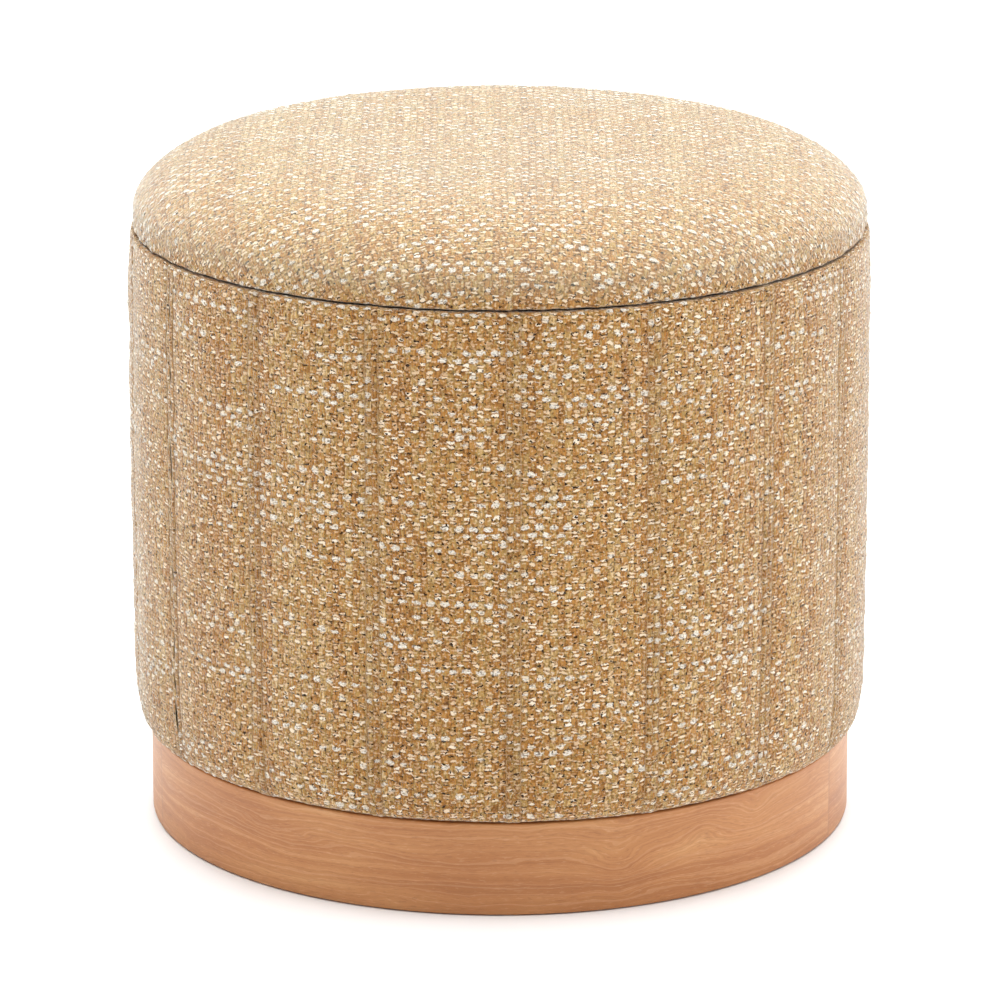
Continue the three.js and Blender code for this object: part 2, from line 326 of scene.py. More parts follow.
def cloth_material():
    n = Nodes("woven_cloth")
    uv = n.uv()
    u0, v0, _ = n.split(uv)
    d = n.noise(uv, 0.75, 3.0, 0.62, color=True)
    dx, dy, _ = n.split(d)
    u = n.add(u0, n.mul(n.sub(dx, 0.5), 0.95))
    v = n.add(v0, n.mul(n.sub(dy, 0.5), 1.15))
    cu, cv = n.m("FLOOR", u), n.m("FLOOR", v)
    fu, fv = n.m("FRACT", u), n.m("FRACT", v)
    weft = n.m("FLOORED_MODULO", n.add(cu, cv), 2.0)
    r_cell = n.white(n.xyz(cu, cv, 0.5))
    r_col = n.white(n.xyz(cu, 3.5, 1.5))
    fine = n.noise(n.xyz(n.mul(u0, 3.3), n.mul(v0, 1.2), 2.0), 1.0, 2.0, 0.6)
    speck = n.noise(n.xyz(n.mul(u0, 1.9), n.mul(v0, 2.5), 9.0), 1.0, 1.0, 0.5)
    grit = n.noise(n.xyz(n.mul(u0, 2.6), n.mul(v0, 3.3), 31.0), 1.0, 0.0, 0.5)
    area_ = n.noise(n.xyz(n.mul(u0, 0.10), n.mul(v0, 0.16), 4.0), 1.0, 2.0)
    # warp: fine strands side by side, of several hues, running on under the weft
    tu = n.add(n.mul(fu, 3.0), n.mul(n.sub(fine, 0.5), 1.6))
    su, fsu = n.m("FLOOR", tu), n.m("FRACT", tu)
    pu = n.m("SUBTRACT", 1.0, n.m("POWER", n.m("ABSOLUTE", n.sub(n.mul(fsu, 2.0), 1.0)), 2.6))
    r_strand = n.white(n.xyz(n.add(n.mul(cu, 3.0), su), n.m("FLOOR", n.add(n.mul(v, 0.9), n.mul(r_col, 2.0))), 7.5))
    hue = n.add(n.add(n.mul(r_col, 0.22), n.mul(r_strand, 0.34)), n.add(n.mul(r_cell, 0.14), n.mul(n.lin(fine, 0.3, 0.7, 0.0, 1.0), 0.30)))
    warp = n.ramp(hue, [
        (0.0, srgb(98, 64, 32)),
        (0.20, srgb(146, 98, 48)),
        (0.36, srgb(188, 130, 64)),
        (0.50, srgb(200, 148, 82)),
        (0.62, srgb(182, 148, 86)),
        (0.76, srgb(218, 180, 120)),
        (1.0, srgb(250, 230, 192)),
    ])
    # painted shade: the gaps between the warp strands darkened
    warp_c = n.mix(n.lin(pu, 0.0, 0.7, 0.45, 0.0), warp, srgb(126, 86, 48))
    # painted shade at the two ends of each warp float, where it dives under the weft
    ends_v = n.mul(n.step(fv, 0.0, 0.2), n.step(fv, 1.0, 0.8))
    warp_c = n.mix(n.lin(ends_v, 0, 1, 0.12, 0.0), warp_c, srgb(96, 64, 36))
    # painted shade: the warp seen under and between the weft dashes darkened
    under = n.mix(0.34, warp_c, srgb(88, 58, 32))
    # weft: two thin picks to a shed, short pale dashes with the shaded warp between
    fv2 = n.mul(fv, 2.0)
    sv, fsv = n.m("FLOOR", fv2), n.m("FRACT", fv2)
    pick_id = n.xyz(cu, n.add(n.mul(cv, 2.0), sv), 11.5)
    r_pick = n.white(pick_id)
    r_pick2 = n.white(n.xyz(n.add(n.mul(cv, 2.0), sv), cu, 23.5))
    ex = n.m("DIVIDE", n.sub(fu, n.add(0.5, n.mul(n.sub(r_pick2, 0.5), 0.36))), n.add(0.32, n.mul(r_pick, 0.26)))
    ey = n.m("DIVIDE", n.sub(fsv, n.add(0.5, n.mul(n.sub(r_pick, 0.5), 0.40))), n.add(0.20, n.mul(r_pick2, 0.22)))
    ed = n.add(n.add(n.mul(ex, ex), n.mul(ey, ey)), n.mul(n.sub(speck, 0.5), 2.4))
    dash = n.mul(n.step(ed, 1.35, 0.70), n.step(r_pick2, 0.04, 0.22))
    pick = n.ramp(n.add(n.mul(r_pick, 0.7), n.mul(area_, 0.5)), [
        (0.10, srgb(168, 122, 80)),
        (0.34, srgb(204, 164, 120)),
        (0.60, srgb(230, 202, 166)),
        (0.85, srgb(246, 230, 206)),
        (1.0, srgb(250, 242, 228)),
    ])
    weft_c = n.mix(dash, under, pick)
    color = n.mix(weft, warp_c, weft_c)
    # slubs: ragged white floats
    slub = n.attribute("slub")
    fu0, fv0 = n.m("FRACT", u0), n.m("FRACT", v0)
    edge = n.noise(n.xyz(n.mul(u0, 2.6), n.mul(v0, 3.8), 3.0), 1.0, 3.0, 0.7)
    sx = n.m("DIVIDE", n.sub(n.add(fu0, n.mul(n.sub(dx, 0.5), 0.9)), 0.5), n.add(0.35, n.mul(slub, 0.27)))
    sy = n.m("DIVIDE", n.sub(n.add(fv0, n.mul(n.sub(dy, 0.5), 0.9)), 0.5), n.add(0.13, n.mul(slub, 0.155)))
    sd = n.add(n.add(n.mul(sx, sx), n.mul(sy, sy)), n.mul(n.sub(edge, 0.5), 3.8))
    mask = n.mul(n.step(sd, 1.35, 0.75), n.step(slub, 0.20, 0.45))
    lines = n.noise(n.xyz(n.mul(u0, 2.6), n.mul(v0, 6.5), 4.0), 1.0, 2.0, 0.6)
    # painted shade: darker grey streaks along the fibres of each slub
    slub_c = n.mix(n.step(lines, 0.58, 0.38), srgb(250, 246, 238), srgb(196, 178, 154))
    color = n.mix(mask, color, slub_c)
    # pale flecks of loose fibres everywhere, small dark flecks, and painted shade in dark pits at the gaps of the
    # weave, mostly beside the weft
    color = n.mix(n.mul(n.step(grit, 0.60, 0.70), 0.46), color, srgb(250, 228, 194))
    color = n.mix(n.mul(n.step(grit, 0.39, 0.30), 0.50), color, srgb(92, 58, 28))
    rim_ = n.m("MAXIMUM", n.step(n.m("ABSOLUTE", n.sub(fv, 0.5)), 0.26, 0.48), n.mul(n.step(n.m("ABSOLUTE", n.sub(fu, 0.5)), 0.30, 0.48), 0.7))
    painted_pit_shade = n.mul(n.step(n.sub(speck, n.mul(rim_, 0.065)), 0.385, 0.33), n.sub(n.add(0.55, n.mul(weft, 0.45)), n.mul(mask, 0.45)))
    color = n.mix(painted_pit_shade, color, srgb(52, 33, 18))
    tone = n.noise(n.position(), 7.0, 3.0)
    color = n.mix(n.lin(tone, 0.3, 0.7, 0.10, 0.0), color, srgb(178, 144, 94), "MULTIPLY")
    # painted light: the lid cover made paler and whiter, in place of the overhead light and sheen on the seat
    painted_top_light = n.mul(n.attribute("painted_top_light"), n.lin(grit, 0.3, 0.7, 0.85, 1.15))
    color = n.mix(n.mul(painted_top_light, 0.14), color, srgb(226, 228, 210))
    # painted shade: the cloth darkened along the stitched grooves and seam strips, by the groove mask
    groove = n.attribute("groove")
    color = n.mix(n.mul(groove, 0.48), color, srgb(112, 76, 42))
    h = n.fmix(weft, n.mul(pu, n.add(0.6, n.mul(ends_v, 0.4))), n.mul(dash, 0.9))
    h = n.add(h, n.mul(mask, 0.8))
    h = n.add(h, n.mul(n.add(speck, grit), 0.9))
    normal = n.bump(h, 0.55, 0.75)
    rough = n.lin(speck, 0.3, 0.7, 0.98, 0.84)
    return n.finish(color, rough, normal, sheen=0.70, sheen_rough=0.34, sheen_tint=(0.95, 0.99, 1.0, 1), spec=0.22)


def slub_table(n_cols, n_rows, seed, share=0.22):
    """Which weft floats are thick white slubs: they come in runs along a pick."""
    rng = np.random.default_rng(seed)
    x = np.arange(n_cols)[:, None] * np.ones(n_rows)[None, :]
    y = np.arange(n_rows)[None, :] * np.ones(n_cols)[:, None]
    run = lattice_noise(x / 13.0 + 40.3 * y * 0.618, y * 7.31 + 0.5, seed + 5, 2)
    patch = lattice_noise(x / 20.0, y / 9.0, seed + 9, 2)
    row = rng.uniform(-1, 1, n_rows)[None, :]
    level = run * 1.25 + patch * 0.55 + row * 0.50 + rng.uniform(-0.55, 0.55, (n_cols, n_rows))
    cut = np.quantile(level, 1 - share)
    size = np.clip((level - cut) / 0.55, 0, 1)
    keep = (level > cut) * (0.30 + 0.70 * size ** 1.3) * rng.uniform(0.75, 1.1, (n_cols, n_rows))
    return keep


def weave_relief(u, v, table):
    """Height in mm of the woven relief and the slub value, at cloth coordinates in cells."""
    cu, cv = np.floor(u).astype(int), np.floor(v).astype(int)
    fu, fv = u - cu, v - cv
    bump = np.clip(np.sin(np.pi * fu), 0, 1) ** 0.8 * np.clip(np.sin(np.pi * fv), 0, 1) ** 0.8
    rough = lattice_noise(u * 0.9, v * 0.9, 777, 2)

    def value(x, y):
        a, b = np.floor(x).astype(int), np.floor(y).astype(int)
        return table[a % table.shape[0], b % table.shape[1]] * ((a + b) % 2)

    slub = value(u, v)
    blob = np.exp(-np.abs((fu - 0.5) / 0.46) ** 4 - np.abs((fv - 0.5) / 0.38) ** 4)
    height = (bump - 0.5) * 0.38 + slub * blob * 0.50 + rough * 0.16
    for dx, dy in ((0.12, 0.12), (-0.12, 0.12), (0.12, -0.12), (-0.12, -0.12)):
        slub = np.maximum(slub, value(u + dx, v + dy))
    return height, slub


CLOTH = cloth_material()

# ------------------------------------------------------------------ wall cover
SEAMS = [-60.3, -39.7, -19.2, 2.0, 23.35, 44.4, 64.8]
SEAMS += [64.8 + (299.7 - 64.8) / 11 * k for k in range(1, 11)] + [299.7]
BODY = [
    (200.0, 57.9), (208.0, 57.7), (213.5, 57.4), (216.6, 57.7), (219.2, 60.0), (221.2, 65.0), (222.7, 73.4), (223.8, 86.0),
    (224.3, 107.9), (224.6, 146.1), (224.7, 184.0), (224.7, 222.0), (224.6, 260.7), (224.3, 298.9),
    (224.2, 324.4), (224.0, 338.0), (223.7, 347.5), (223.5, 355.0), (223.3, 360.6), (222.9, 364.0),
    (220.9, 365.5), (217.2, 365.3), (214.6, 364.3), (211.5, 363.6), (200.0, 363.1), (191.4, 362.8), (189.2, 361.9), (188.2, 359.4),
    (187.9, 354.4), (187.9, 350.1), (188.8, 347.7), (191.0, 347.1), (197.8, 347.1),
]
body_s, body_q = dense(BODY, 0.4, 1.1)


def seat_line(r):
    """Height at which the lid meets the rim: a shallow welt stands up along the outer edge."""
    t = np.clip((r - 211.5) / 5.0, 0, 1)
    return 363.5 + 1.65 * t * t * (3 - 2 * t)


def rows_of(parts):
    """Arc lengths from a list of (end, step)."""
    out, at = [0.0], 0.0
    for end, step in parts:
        k = max(1, int(round((end - at) / step)))
        out += list(at + (end - at) * np.arange(1, k + 1) / k)
        at = end
    return np.array(out)


def arc_at(s_dense, q, r, z):
    return float(s_dense[np.argmin(np.hypot(q[:, 0] - r, q[:, 1] - z))])


s_edge = arc_at(body_s, body_q, 213.5, 57.8)
s_rim = arc_at(body_s, body_q, 217.2, 365.3)
s_in = arc_at(body_s, body_q, 189.2, 361.9)
s_low = arc_at(body_s, body_q, 188.8, 347.7)
s_end = float(body_s[-1])
wall_rows = rows_of([(s_edge, 3.4), (s_rim, 1.5), (s_in, 1.6), (s_low, 1.8), (s_end, 3.0)])
wall_r, wall_z, wall_nr, wall_nz = along(body_s, body_q, wall_rows)


# ------------------------------------------------------------------ cloth simulation of the padded covers
def inflate(verts, faces, pinned, pressure, slack, frames=20):
    """Blender's cloth on a coarse copy of a cover, pushed out by its padding and held at its seams. Returns the moved vertices, in mm."""
    ob = make_object("cloth_run", verts, faces if isinstance(faces, list) else [faces], CLOTH)
    group = ob.vertex_groups.new(name="pin")
    group.add([int(i) for i in np.nonzero(pinned)[0]], 1.0, "REPLACE")
    mod = ob.modifiers.new("Cloth", "CLOTH")
    st = mod.settings
    st.quality = 5
    st.mass = 0.3
    st.tension_stiffness = st.compression_stiffness = 15.0
    st.shear_stiffness = 5.0
    st.bending_stiffness = 0.4
    st.vertex_group_mass = "pin"
    st.pin_stiffness = 1.0
    st.shrink_min = -slack
    st.use_pressure = True
    st.uniform_pressure_force = pressure
    st.effector_weights.gravity = 0.0
    mod.collision_settings.use_collision = False
    mod.collision_settings.use_self_collision = False
    mod.point_cache.frame_start, mod.point_cache.frame_end = 1, frames
    scene.frame_start, scene.frame_end = 1, frames
    for f in range(1, frames + 1):
        scene.frame_set(f)
    ev = ob.evaluated_get(bpy.context.evaluated_depsgraph_get())
    me = ev.to_mesh()
    co = np.empty(len(me.vertices) * 3, np.float32)
    me.vertices.foreach_get("co", co)
    ev.to_mesh_clear()
    me = ob.data
    bpy.data.objects.remove(ob)
    bpy.data.meshes.remove(me)
    scene.frame_set(1)
    out = co.reshape(-1, 3).astype(float) / MM
    return np.where(np.isfinite(out), out, verts)


def settle(d, typical, cap):
    """Scales a displacement to a typical size and caps it."""
    size = np.quantile(np.abs(d), 0.95)
    if size < 1e-6:
        return np.zeros_like(d)
    return np.round(np.clip(d / size * typical, -cap, cap), 3)


def wall_run():
    """Outward movement of the wall cover, on a grid of arc length by angle."""
    s_rows = np.linspace(s_edge, s_rim, 56)
    theta, held = [], []
    for k in range(len(SEAMS) - 1):
        a, b = SEAMS[k], SEAMS[k + 1]
        w = math.radians(b - a) * 225.0
        cols = np.concatenate([[0.0], np.linspace(4.1, w - 4.1, max(6, int(round((w - 8.2) / 6.0))) + 1)])
        theta += list(a + (b - a) * cols / w)
        held += [1] + [1] + [0] * (len(cols) - 3) + [1]
    theta, held = np.array(theta), np.array(held)
    r, z, nr, nz = along(body_s, body_q, s_rows)
    S, T = np.meshgrid(s_rows, theta, indexing="ij")
    start = 0.25 * np.random.default_rng(41).uniform(-1, 1, S.shape) * (1 - held)[None, :]
    R = r[:, None] + start * nr[:, None]
    Z = z[:, None] + start * nz[:, None]
    verts = np.stack([R * np.sin(np.radians(T)), -R * np.cos(np.radians(T)), Z], -1).reshape(-1, 3)
    pinned = np.broadcast_to(held[None, :], S.shape).copy()
    pinned[[0, -1]] = 1
    moved = inflate(verts, grid_faces(len(s_rows), len(theta), wrap=True), pinned.ravel() > 0, 4.0, 0.012)
    d = (moved - verts).reshape(*S.shape, 3)
    radial = d[..., 0] * np.sin(np.radians(T)) - d[..., 1] * np.cos(np.radians(T))
    out = radial * nr[:, None] + d[..., 2] * nz[:, None] + start
    out -= out[pinned == 0].mean()
    out[pinned > 0] = min(0.0, float(out.min()) * 0.5)
    return s_rows, theta, settle(out, 0.75, 1.1)


def lid_run():
    """Outward movement of the lid cover, on a grid of arc length by angle."""
    s_top = float(lid_s[-1])
    s_rows = np.linspace(9.0, s_top, 46)
    phi = np.arange(180) * 2 * math.pi / 180
    r, z, nr, nz = along(lid_s, lid_q, s_rows)
    nr, nz = -nr, -nz
    S, F = np.meshgrid(s_rows, phi, indexing="ij")
    start = 0.3 * np.random.default_rng(43).uniform(-1, 1, S.shape)
    R, Z = r[:, None] + start * nr[:, None], z[:, None] + start * nz[:, None]
    verts = np.stack([R * np.cos(F), R * np.sin(F), Z], -1).reshape(-1, 3)
    n, m = S.shape
    g = grid_faces(n, m, wrap=True)
    j = np.arange(m)
    verts = np.concatenate([verts, [[0.0, 0.0, float(lid_q[0, 1])]]])
    cap = np.stack([np.full(m, n * m), j, (j + 1) % m, (j + 1) % m], -1)
    hold = np.zeros(n * m + 1)
    hold[:-1] = (S > arc_at(lid_s, lid_q, 212.0, 363.8)).ravel()
    # a triangle fan closes the crown
    ob_faces = [g[:, ::-1], cap[:, :3]]
    moved = inflate(verts, ob_faces, hold > 0, 4.0, 0.008)
    d = (moved - verts)[:-1].reshape(n, m, 3)
    radial = d[..., 0] * np.cos(F) + d[..., 1] * np.sin(F)
    out = radial * nr[:, None] + d[..., 2] * nz[:, None] + start
    free = hold[:-1].reshape(n, m) == 0
    out -= out[free].mean()
    out *= free
    return s_rows, phi, settle(out, 0.6, 1.0)


def grid_sample(rows, cols, table, s_at, c_at, period):
    """Bilinear values of a table on rows x cols, the columns going round."""
    order = np.argsort(cols % period)
    c = (cols % period)[order]
    t = table[:, order]
    c = np.concatenate([[c[-1] - period], c, [c[0] + period]])
    t = np.concatenate([t[:, -1:], t, t[:, :1]], 1)
    q = np.asarray(c_at, float) % period
    j = np.clip(np.searchsorted(c, q, side="right") - 1, 0, len(c) - 2)
    fj = (q - c[j]) / (c[j + 1] - c[j])
    x = np.clip((np.asarray(s_at, float) - rows[0]) / (rows[-1] - rows[0]), 0, 1) * (len(rows) - 1)
    i = np.clip(x.astype(int), 0, len(rows) - 2)
    fi = x - i
    a = t[i, j] * (1 - fj) + t[i, j + 1] * fj
    b = t[i + 1, j] * (1 - fj) + t[i + 1, j + 1] * fj
    return a * (1 - fi) + b * fi


WALL_RUN = wall_run()


def wall_shape(theta, dist, width, s_rows):
    """Displacement in mm, along the normal, of the padded wall: the crown of each channel, its stitched grooves and soft unevenness.
    theta in degrees and dist (mm to the left seam) are columns; width is the channel's."""
    S, T = np.meshgrid(s_rows, theta, indexing="ij")
    D = np.broadcast_to(dist, S.shape)
    W = np.broadcast_to(width, S.shape)
    away = np.minimum(D, W - D)
    # padding is full between the hem and the rim
    full = np.clip((S - s_edge) / 26.0, 0, 1) * np.clip((s_rim - 6 - S) / 34.0, 0, 1)
    full = full * full * (3 - 2 * full)
    t = np.clip((away - 4.0) / (W / 2 - 4.0), 0, 1)
    crown = 0.70 * (1 - (1 - t) ** 2.2)
    deep = np.clip(0.62 + 0.55 * lattice_noise(T / 5.3, S / 55.0, 15, 2), 0.25, 1)
    groove = -0.72 * deep * np.exp(-((away - 4.1) / 1.5) ** 2) - 0.22 * np.exp(-(away / 0.9) ** 2)
    strip = -0.35 * np.clip(1 - away / 6.0, 0, 1)
    soft = 0.55 * lattice_noise(T / 9.0, S / 42.0, 11, 2) + 0.22 * lattice_noise(T / 2.6, S / 14.0, 12, 2)
    near = np.exp(-np.maximum(away - 3.0, 0) / 9.0)
    pucker = 0.38 * near * np.sin(S / 4.6 + 5.0 * lattice_noise(T / 21.0, S / 60.0, 14, 2) * 2.0)
    on = np.clip((S - s_edge) / 5.0, 0, 1) * np.clip((s_in - S) / 3.0, 0, 1)
    d = full * (crown + soft + pucker) + on * (groove + strip) - 1.15 * np.clip((S - s_edge) / 22.0, 0.15, 1) * np.clip((s_rim + 3 - S) / 16.0, 0.2, 1)
    # painted shade: a mask for darkening the colour in the stitched grooves and the strip by each seam, returned beside
    # the displacement
    dark = 0.55 * np.exp(-((away - 4.1) / 1.3) ** 2) + 0.45 * np.clip(1.25 - away / 6.0, 0, 1)
    puff = grid_sample(*WALL_RUN, S, T, 360.0) * np.clip((away - 3.4) / 3.0, 0, 1)
    return d + puff, np.clip(dark * on * deep, 0, 1)


def cloth_drift(T, S, away, seed):
    """How far the weave is pulled off square, in cells, near the seams."""
    near = np.exp(-away / 13.0)
    dv = near * 0.9 * lattice_noise(T / 21.4 + 0.3, S / 75.0, seed, 2)
    dv = dv + 0.35 * lattice_noise(T / 30.0, S / 90.0, seed + 1, 2)
    du = 0.25 * lattice_noise(T / 40.0, S / 60.0, seed + 2, 2)
    return du, dv


def wall_piece(name, first, last):
    """One cut length of the sewn wall cover: channels first..last-1."""
    theta, dist, width, panel, ucol = [], [], [], [], []
    for k in range(first, last):
        a, b = SEAMS[k], SEAMS[k + 1]
        w = math.radians(b - a) * 225.0
        n = 4 * int(round(w / COL_MM))
        cols = np.arange(n + (1 if k == last - 1 else 0))
        theta += list(a + (b - a) * cols / n)
        dist += list(w * cols / n)
        width += [w] * len(cols)
        panel += [k] * len(cols)
        ucol += list(cols / 4.0)
    theta, dist, width, panel, ucol = map(np.array, (theta, dist, width, panel, ucol))
    S, T = np.meshgrid(wall_rows, theta, indexing="ij")
    away = np.minimum(dist, width - dist)[None, :] * np.ones_like(S)
    # groove here is the painted shade mask of the seams, stored as the groove attribute
    d, groove = wall_shape(theta, dist, width, wall_rows)
    relief, slub = np.zeros_like(S), np.zeros_like(S)
    U, V = np.zeros_like(S), np.zeros_like(S)
    shift = {}
    for k in range(first, last):
        rng = np.random.default_rng(100 + k)
        u_off, v_off = 40.0 * k, float(rng.integers(0, 30)) + 0.37
        du, dv = cloth_drift(T, S, away, 200 + 3 * k)
        shift[k] = (u_off, v_off, du, dv)
        c = panel == k
        table = slub_table(64, 128, 300 + k)
        U[:, c] = (ucol[None, :] + u_off + du)[:, c]
        V[:, c] = (S / ROW_MM + v_off + dv)[:, c]
        relief[:, c], slub[:, c] = weave_relief(U[:, c], V[:, c], table)
    slub *= np.clip(away / 1.6, 0, 1)
    fade = np.clip((S - s_edge + 3) / 4.0, 0, 1) * np.clip((s_end - 9 - S) / 5.0, 0.3, 1)
    flat_rim = 1 - 0.75 * np.clip((S - s_rim + 4) / 6.0, 0, 1)
    seam_flat = np.clip(away / 1.0, 0.0, 1)
    total = d + relief * fade * flat_rim * seam_flat
    r = wall_r[:, None] + total * wall_nr[:, None]
    z = wall_z[:, None] + total * wall_nz[:, None]
    z = np.where(S > s_rim - 6, np.minimum(z, seat_line(r) - 0.12), z)
    x, y = r * np.sin(np.radians(T)), -r * np.cos(np.radians(T))
    verts = np.stack([x, y, z], -1).reshape(-1, 3)
    n_r, n_c = S.shape
    faces = grid_faces(n_r, n_c)
    # corner coordinates of the weave, each quad in its own channel's
    corner_u, corner_v = U.reshape(-1)[faces], V.reshape(-1)[faces]
    col = faces[:, 0] % n_c
    row = faces[:, 0] // n_c
    cross = panel[np.minimum(col + 1, n_c - 1)] != panel[col]
    for k in range(first, last - 1):
        pick = cross & (panel[col] == k)
        u_off, v_off, du, dv = shift[k]
        n = 4 * int(round(math.radians(SEAMS[k + 1] - SEAMS[k]) * 225.0 / COL_MM))
        for corner, dr_ in ((1, 0), (2, 1)):
            rr = row[pick] + dr_
            cc = col[pick] + 1
            corner_u[pick, corner] = n / 4.0 + u_off + du[rr, cc]
            corner_v[pick, corner] = S[rr, cc] / ROW_MM + v_off + dv[rr, cc]
    uv = np.stack([corner_u, corner_v], -1)
    ob = make_object(name, verts, [faces], CLOTH, [uv], {"slub": slub.ravel(), "groove": groove.ravel()})
    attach(ob, "base")
    return ob


wall_pieces = [
    wall_piece("side_cover_front", 0, 6),
    wall_piece("side_cover_right", 6, 12),
    wall_piece("side_cover_left", 12, 17),
]
for ob in wall_pieces:
    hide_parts("side_cover")

# ------------------------------------------------------------------ lid cover
LID = [
    (0.0, 417.2), (40.0, 417.15), (93.8, 416.9), (127.2, 416.2), (146.3, 415.1), (160.3, 413.6), (171.4, 411.7),
    (180.5, 409.5), (188.1, 407.0), (194.7, 404.3), (200.3, 401.4), (205.1, 398.4), (209.2, 395.3), (212.6, 392.2),
    (215.4, 389.2), (217.6, 386.2), (219.3, 383.2), (220.2, 380.4), (220.4, 376.3), (220.4, 371.4), (220.5, 367.8),
    (220.4, 365.6), (218.8, 364.9), (216.6, 365.0), (214.2, 364.5), (208.0, 363.8), (192.2, 363.9),
]
lid_s, lid_q = dense(LID, 0.4, 1.1)
lid_q[0, 0] = 0.0


LID_RUN = lid_run()


def lid_piece():
    s_max = float(lid_s[-1])
    step_x, step_y = COL_MM / 3.0, ROW_MM / 3.0
    nx, ny = int(s_max / step_x) + 2, int(s_max / step_y) + 2
    X, Y = np.meshgrid(np.arange(-nx, nx + 1) * step_x, np.arange(-ny, ny + 1) * step_y, indexing="ij")
    s = np.hypot(X, Y)
    phi = np.arctan2(Y, X)
    inside = s <= s_max
    near = s <= s_max + 1.35
    keep = near[:-1, :-1] & near[1:, :-1] & near[1:, 1:] & near[:-1, 1:]
    keep &= inside[:-1, :-1] | inside[1:, :-1] | inside[1:, 1:] | inside[:-1, 1:]
    sc = np.minimum(s, s_max)
    r, z, nr, nz = along(lid_s, lid_q, sc.ravel())
    r, z, nr, nz = (a.reshape(s.shape) for a in (r, z, nr, nz))
    # the profile runs outwards and down, so its outward normal is to the left of the path
    nr, nz = -nr, -nz
    table = slub_table(160, 160, 901, share=0.30)
    U = X / COL_MM + 80.0 + 0.3 * lattice_noise(X / 60.0 + 9, Y / 60.0, 60, 2)
    V = Y / ROW_MM + 80.0 + 0.5 * lattice_noise(X / 80.0 + 3, Y / 50.0 + 7, 61, 2)
    relief, slub = weave_relief(U, V, table)
    s_edge_lid = arc_at(lid_s, lid_q, 220.4, 378.0)
    s_under = arc_at(lid_s, lid_q, 218.8, 364.9)
    under = np.clip((sc - s_under + 2) / 4.0, 0, 1)
    gather = np.clip((sc - s_edge_lid + 12) / 22.0, 0, 1)
    deg = np.degrees(phi)
    ripple = 0.55 * lattice_noise(np.cos(phi) * 9 + 20, np.sin(phi) * 9 + 20, 71, 2) * gather
    ripple += 0.35 * np.sin(phi * 61 + 6 * lattice_noise(np.cos(phi) * 3 + 9, np.sin(phi) * 3 + 9, 72, 2)) * gather ** 2
    soft = 0.9 * lattice_noise(X / 70.0 + 5, Y / 70.0 + 5, 73, 2) * np.clip(1 - sc / (s_edge_lid + 10), 0, 1) ** 0.4
    puff = grid_sample(*LID_RUN, sc, phi, 2 * math.pi) * np.clip(sc / 30.0, 0, 1)
    total = relief * (1 - 0.8 * under) + ripple * (1 - 0.85 * under) + soft * 0.5 + puff * (1 - under)
    total = np.where(under > 0.5, np.minimum(total, 0.3), total)
    # painted light: a mask that makes the lid cover paler, full over the top and sides and fading out before the under
    # edge
    painted_top_light = np.clip((s_under - 3 - sc) / 12.0, 0, 1) * (0.95 + 0.25 * lattice_noise(X / 45.0 + 2, Y / 45.0 + 8, 74, 2))
    r2 = r + total * nr
    z2 = z + total * nz
    z2 = np.maximum(z2, seat_line(r2))
    z2 = np.minimum(z2, 417.9)
    x, y = r2 * np.cos(phi), r2 * np.sin(phi)
    verts = np.stack([x, y, z2], -1).reshape(-1, 3)
    m, k = s.shape
    i, j = np.nonzero(keep)
    a, b, c, d = i * k + j, (i + 1) * k + j, (i + 1) * k + j + 1, i * k + j + 1
    faces = np.stack([a, b, c, d], -1)
    used, inv = np.unique(faces, return_inverse=True)
    faces = inv.reshape(faces.shape)
    pick = lambda arr: arr.reshape(-1)[used]
    uv = np.stack([pick(U)[faces], pick(V)[faces]], -1)
    ob = make_object("lid_cover_cloth", verts[used], [faces], CLOTH, [uv], {"slub": pick(slub), "groove": pick(np.zeros_like(s)), "painted_top_light": pick(painted_top_light)})
    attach(ob, "lid")
    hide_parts("lid_cover")
    return ob


lid_cover = lid_piece()


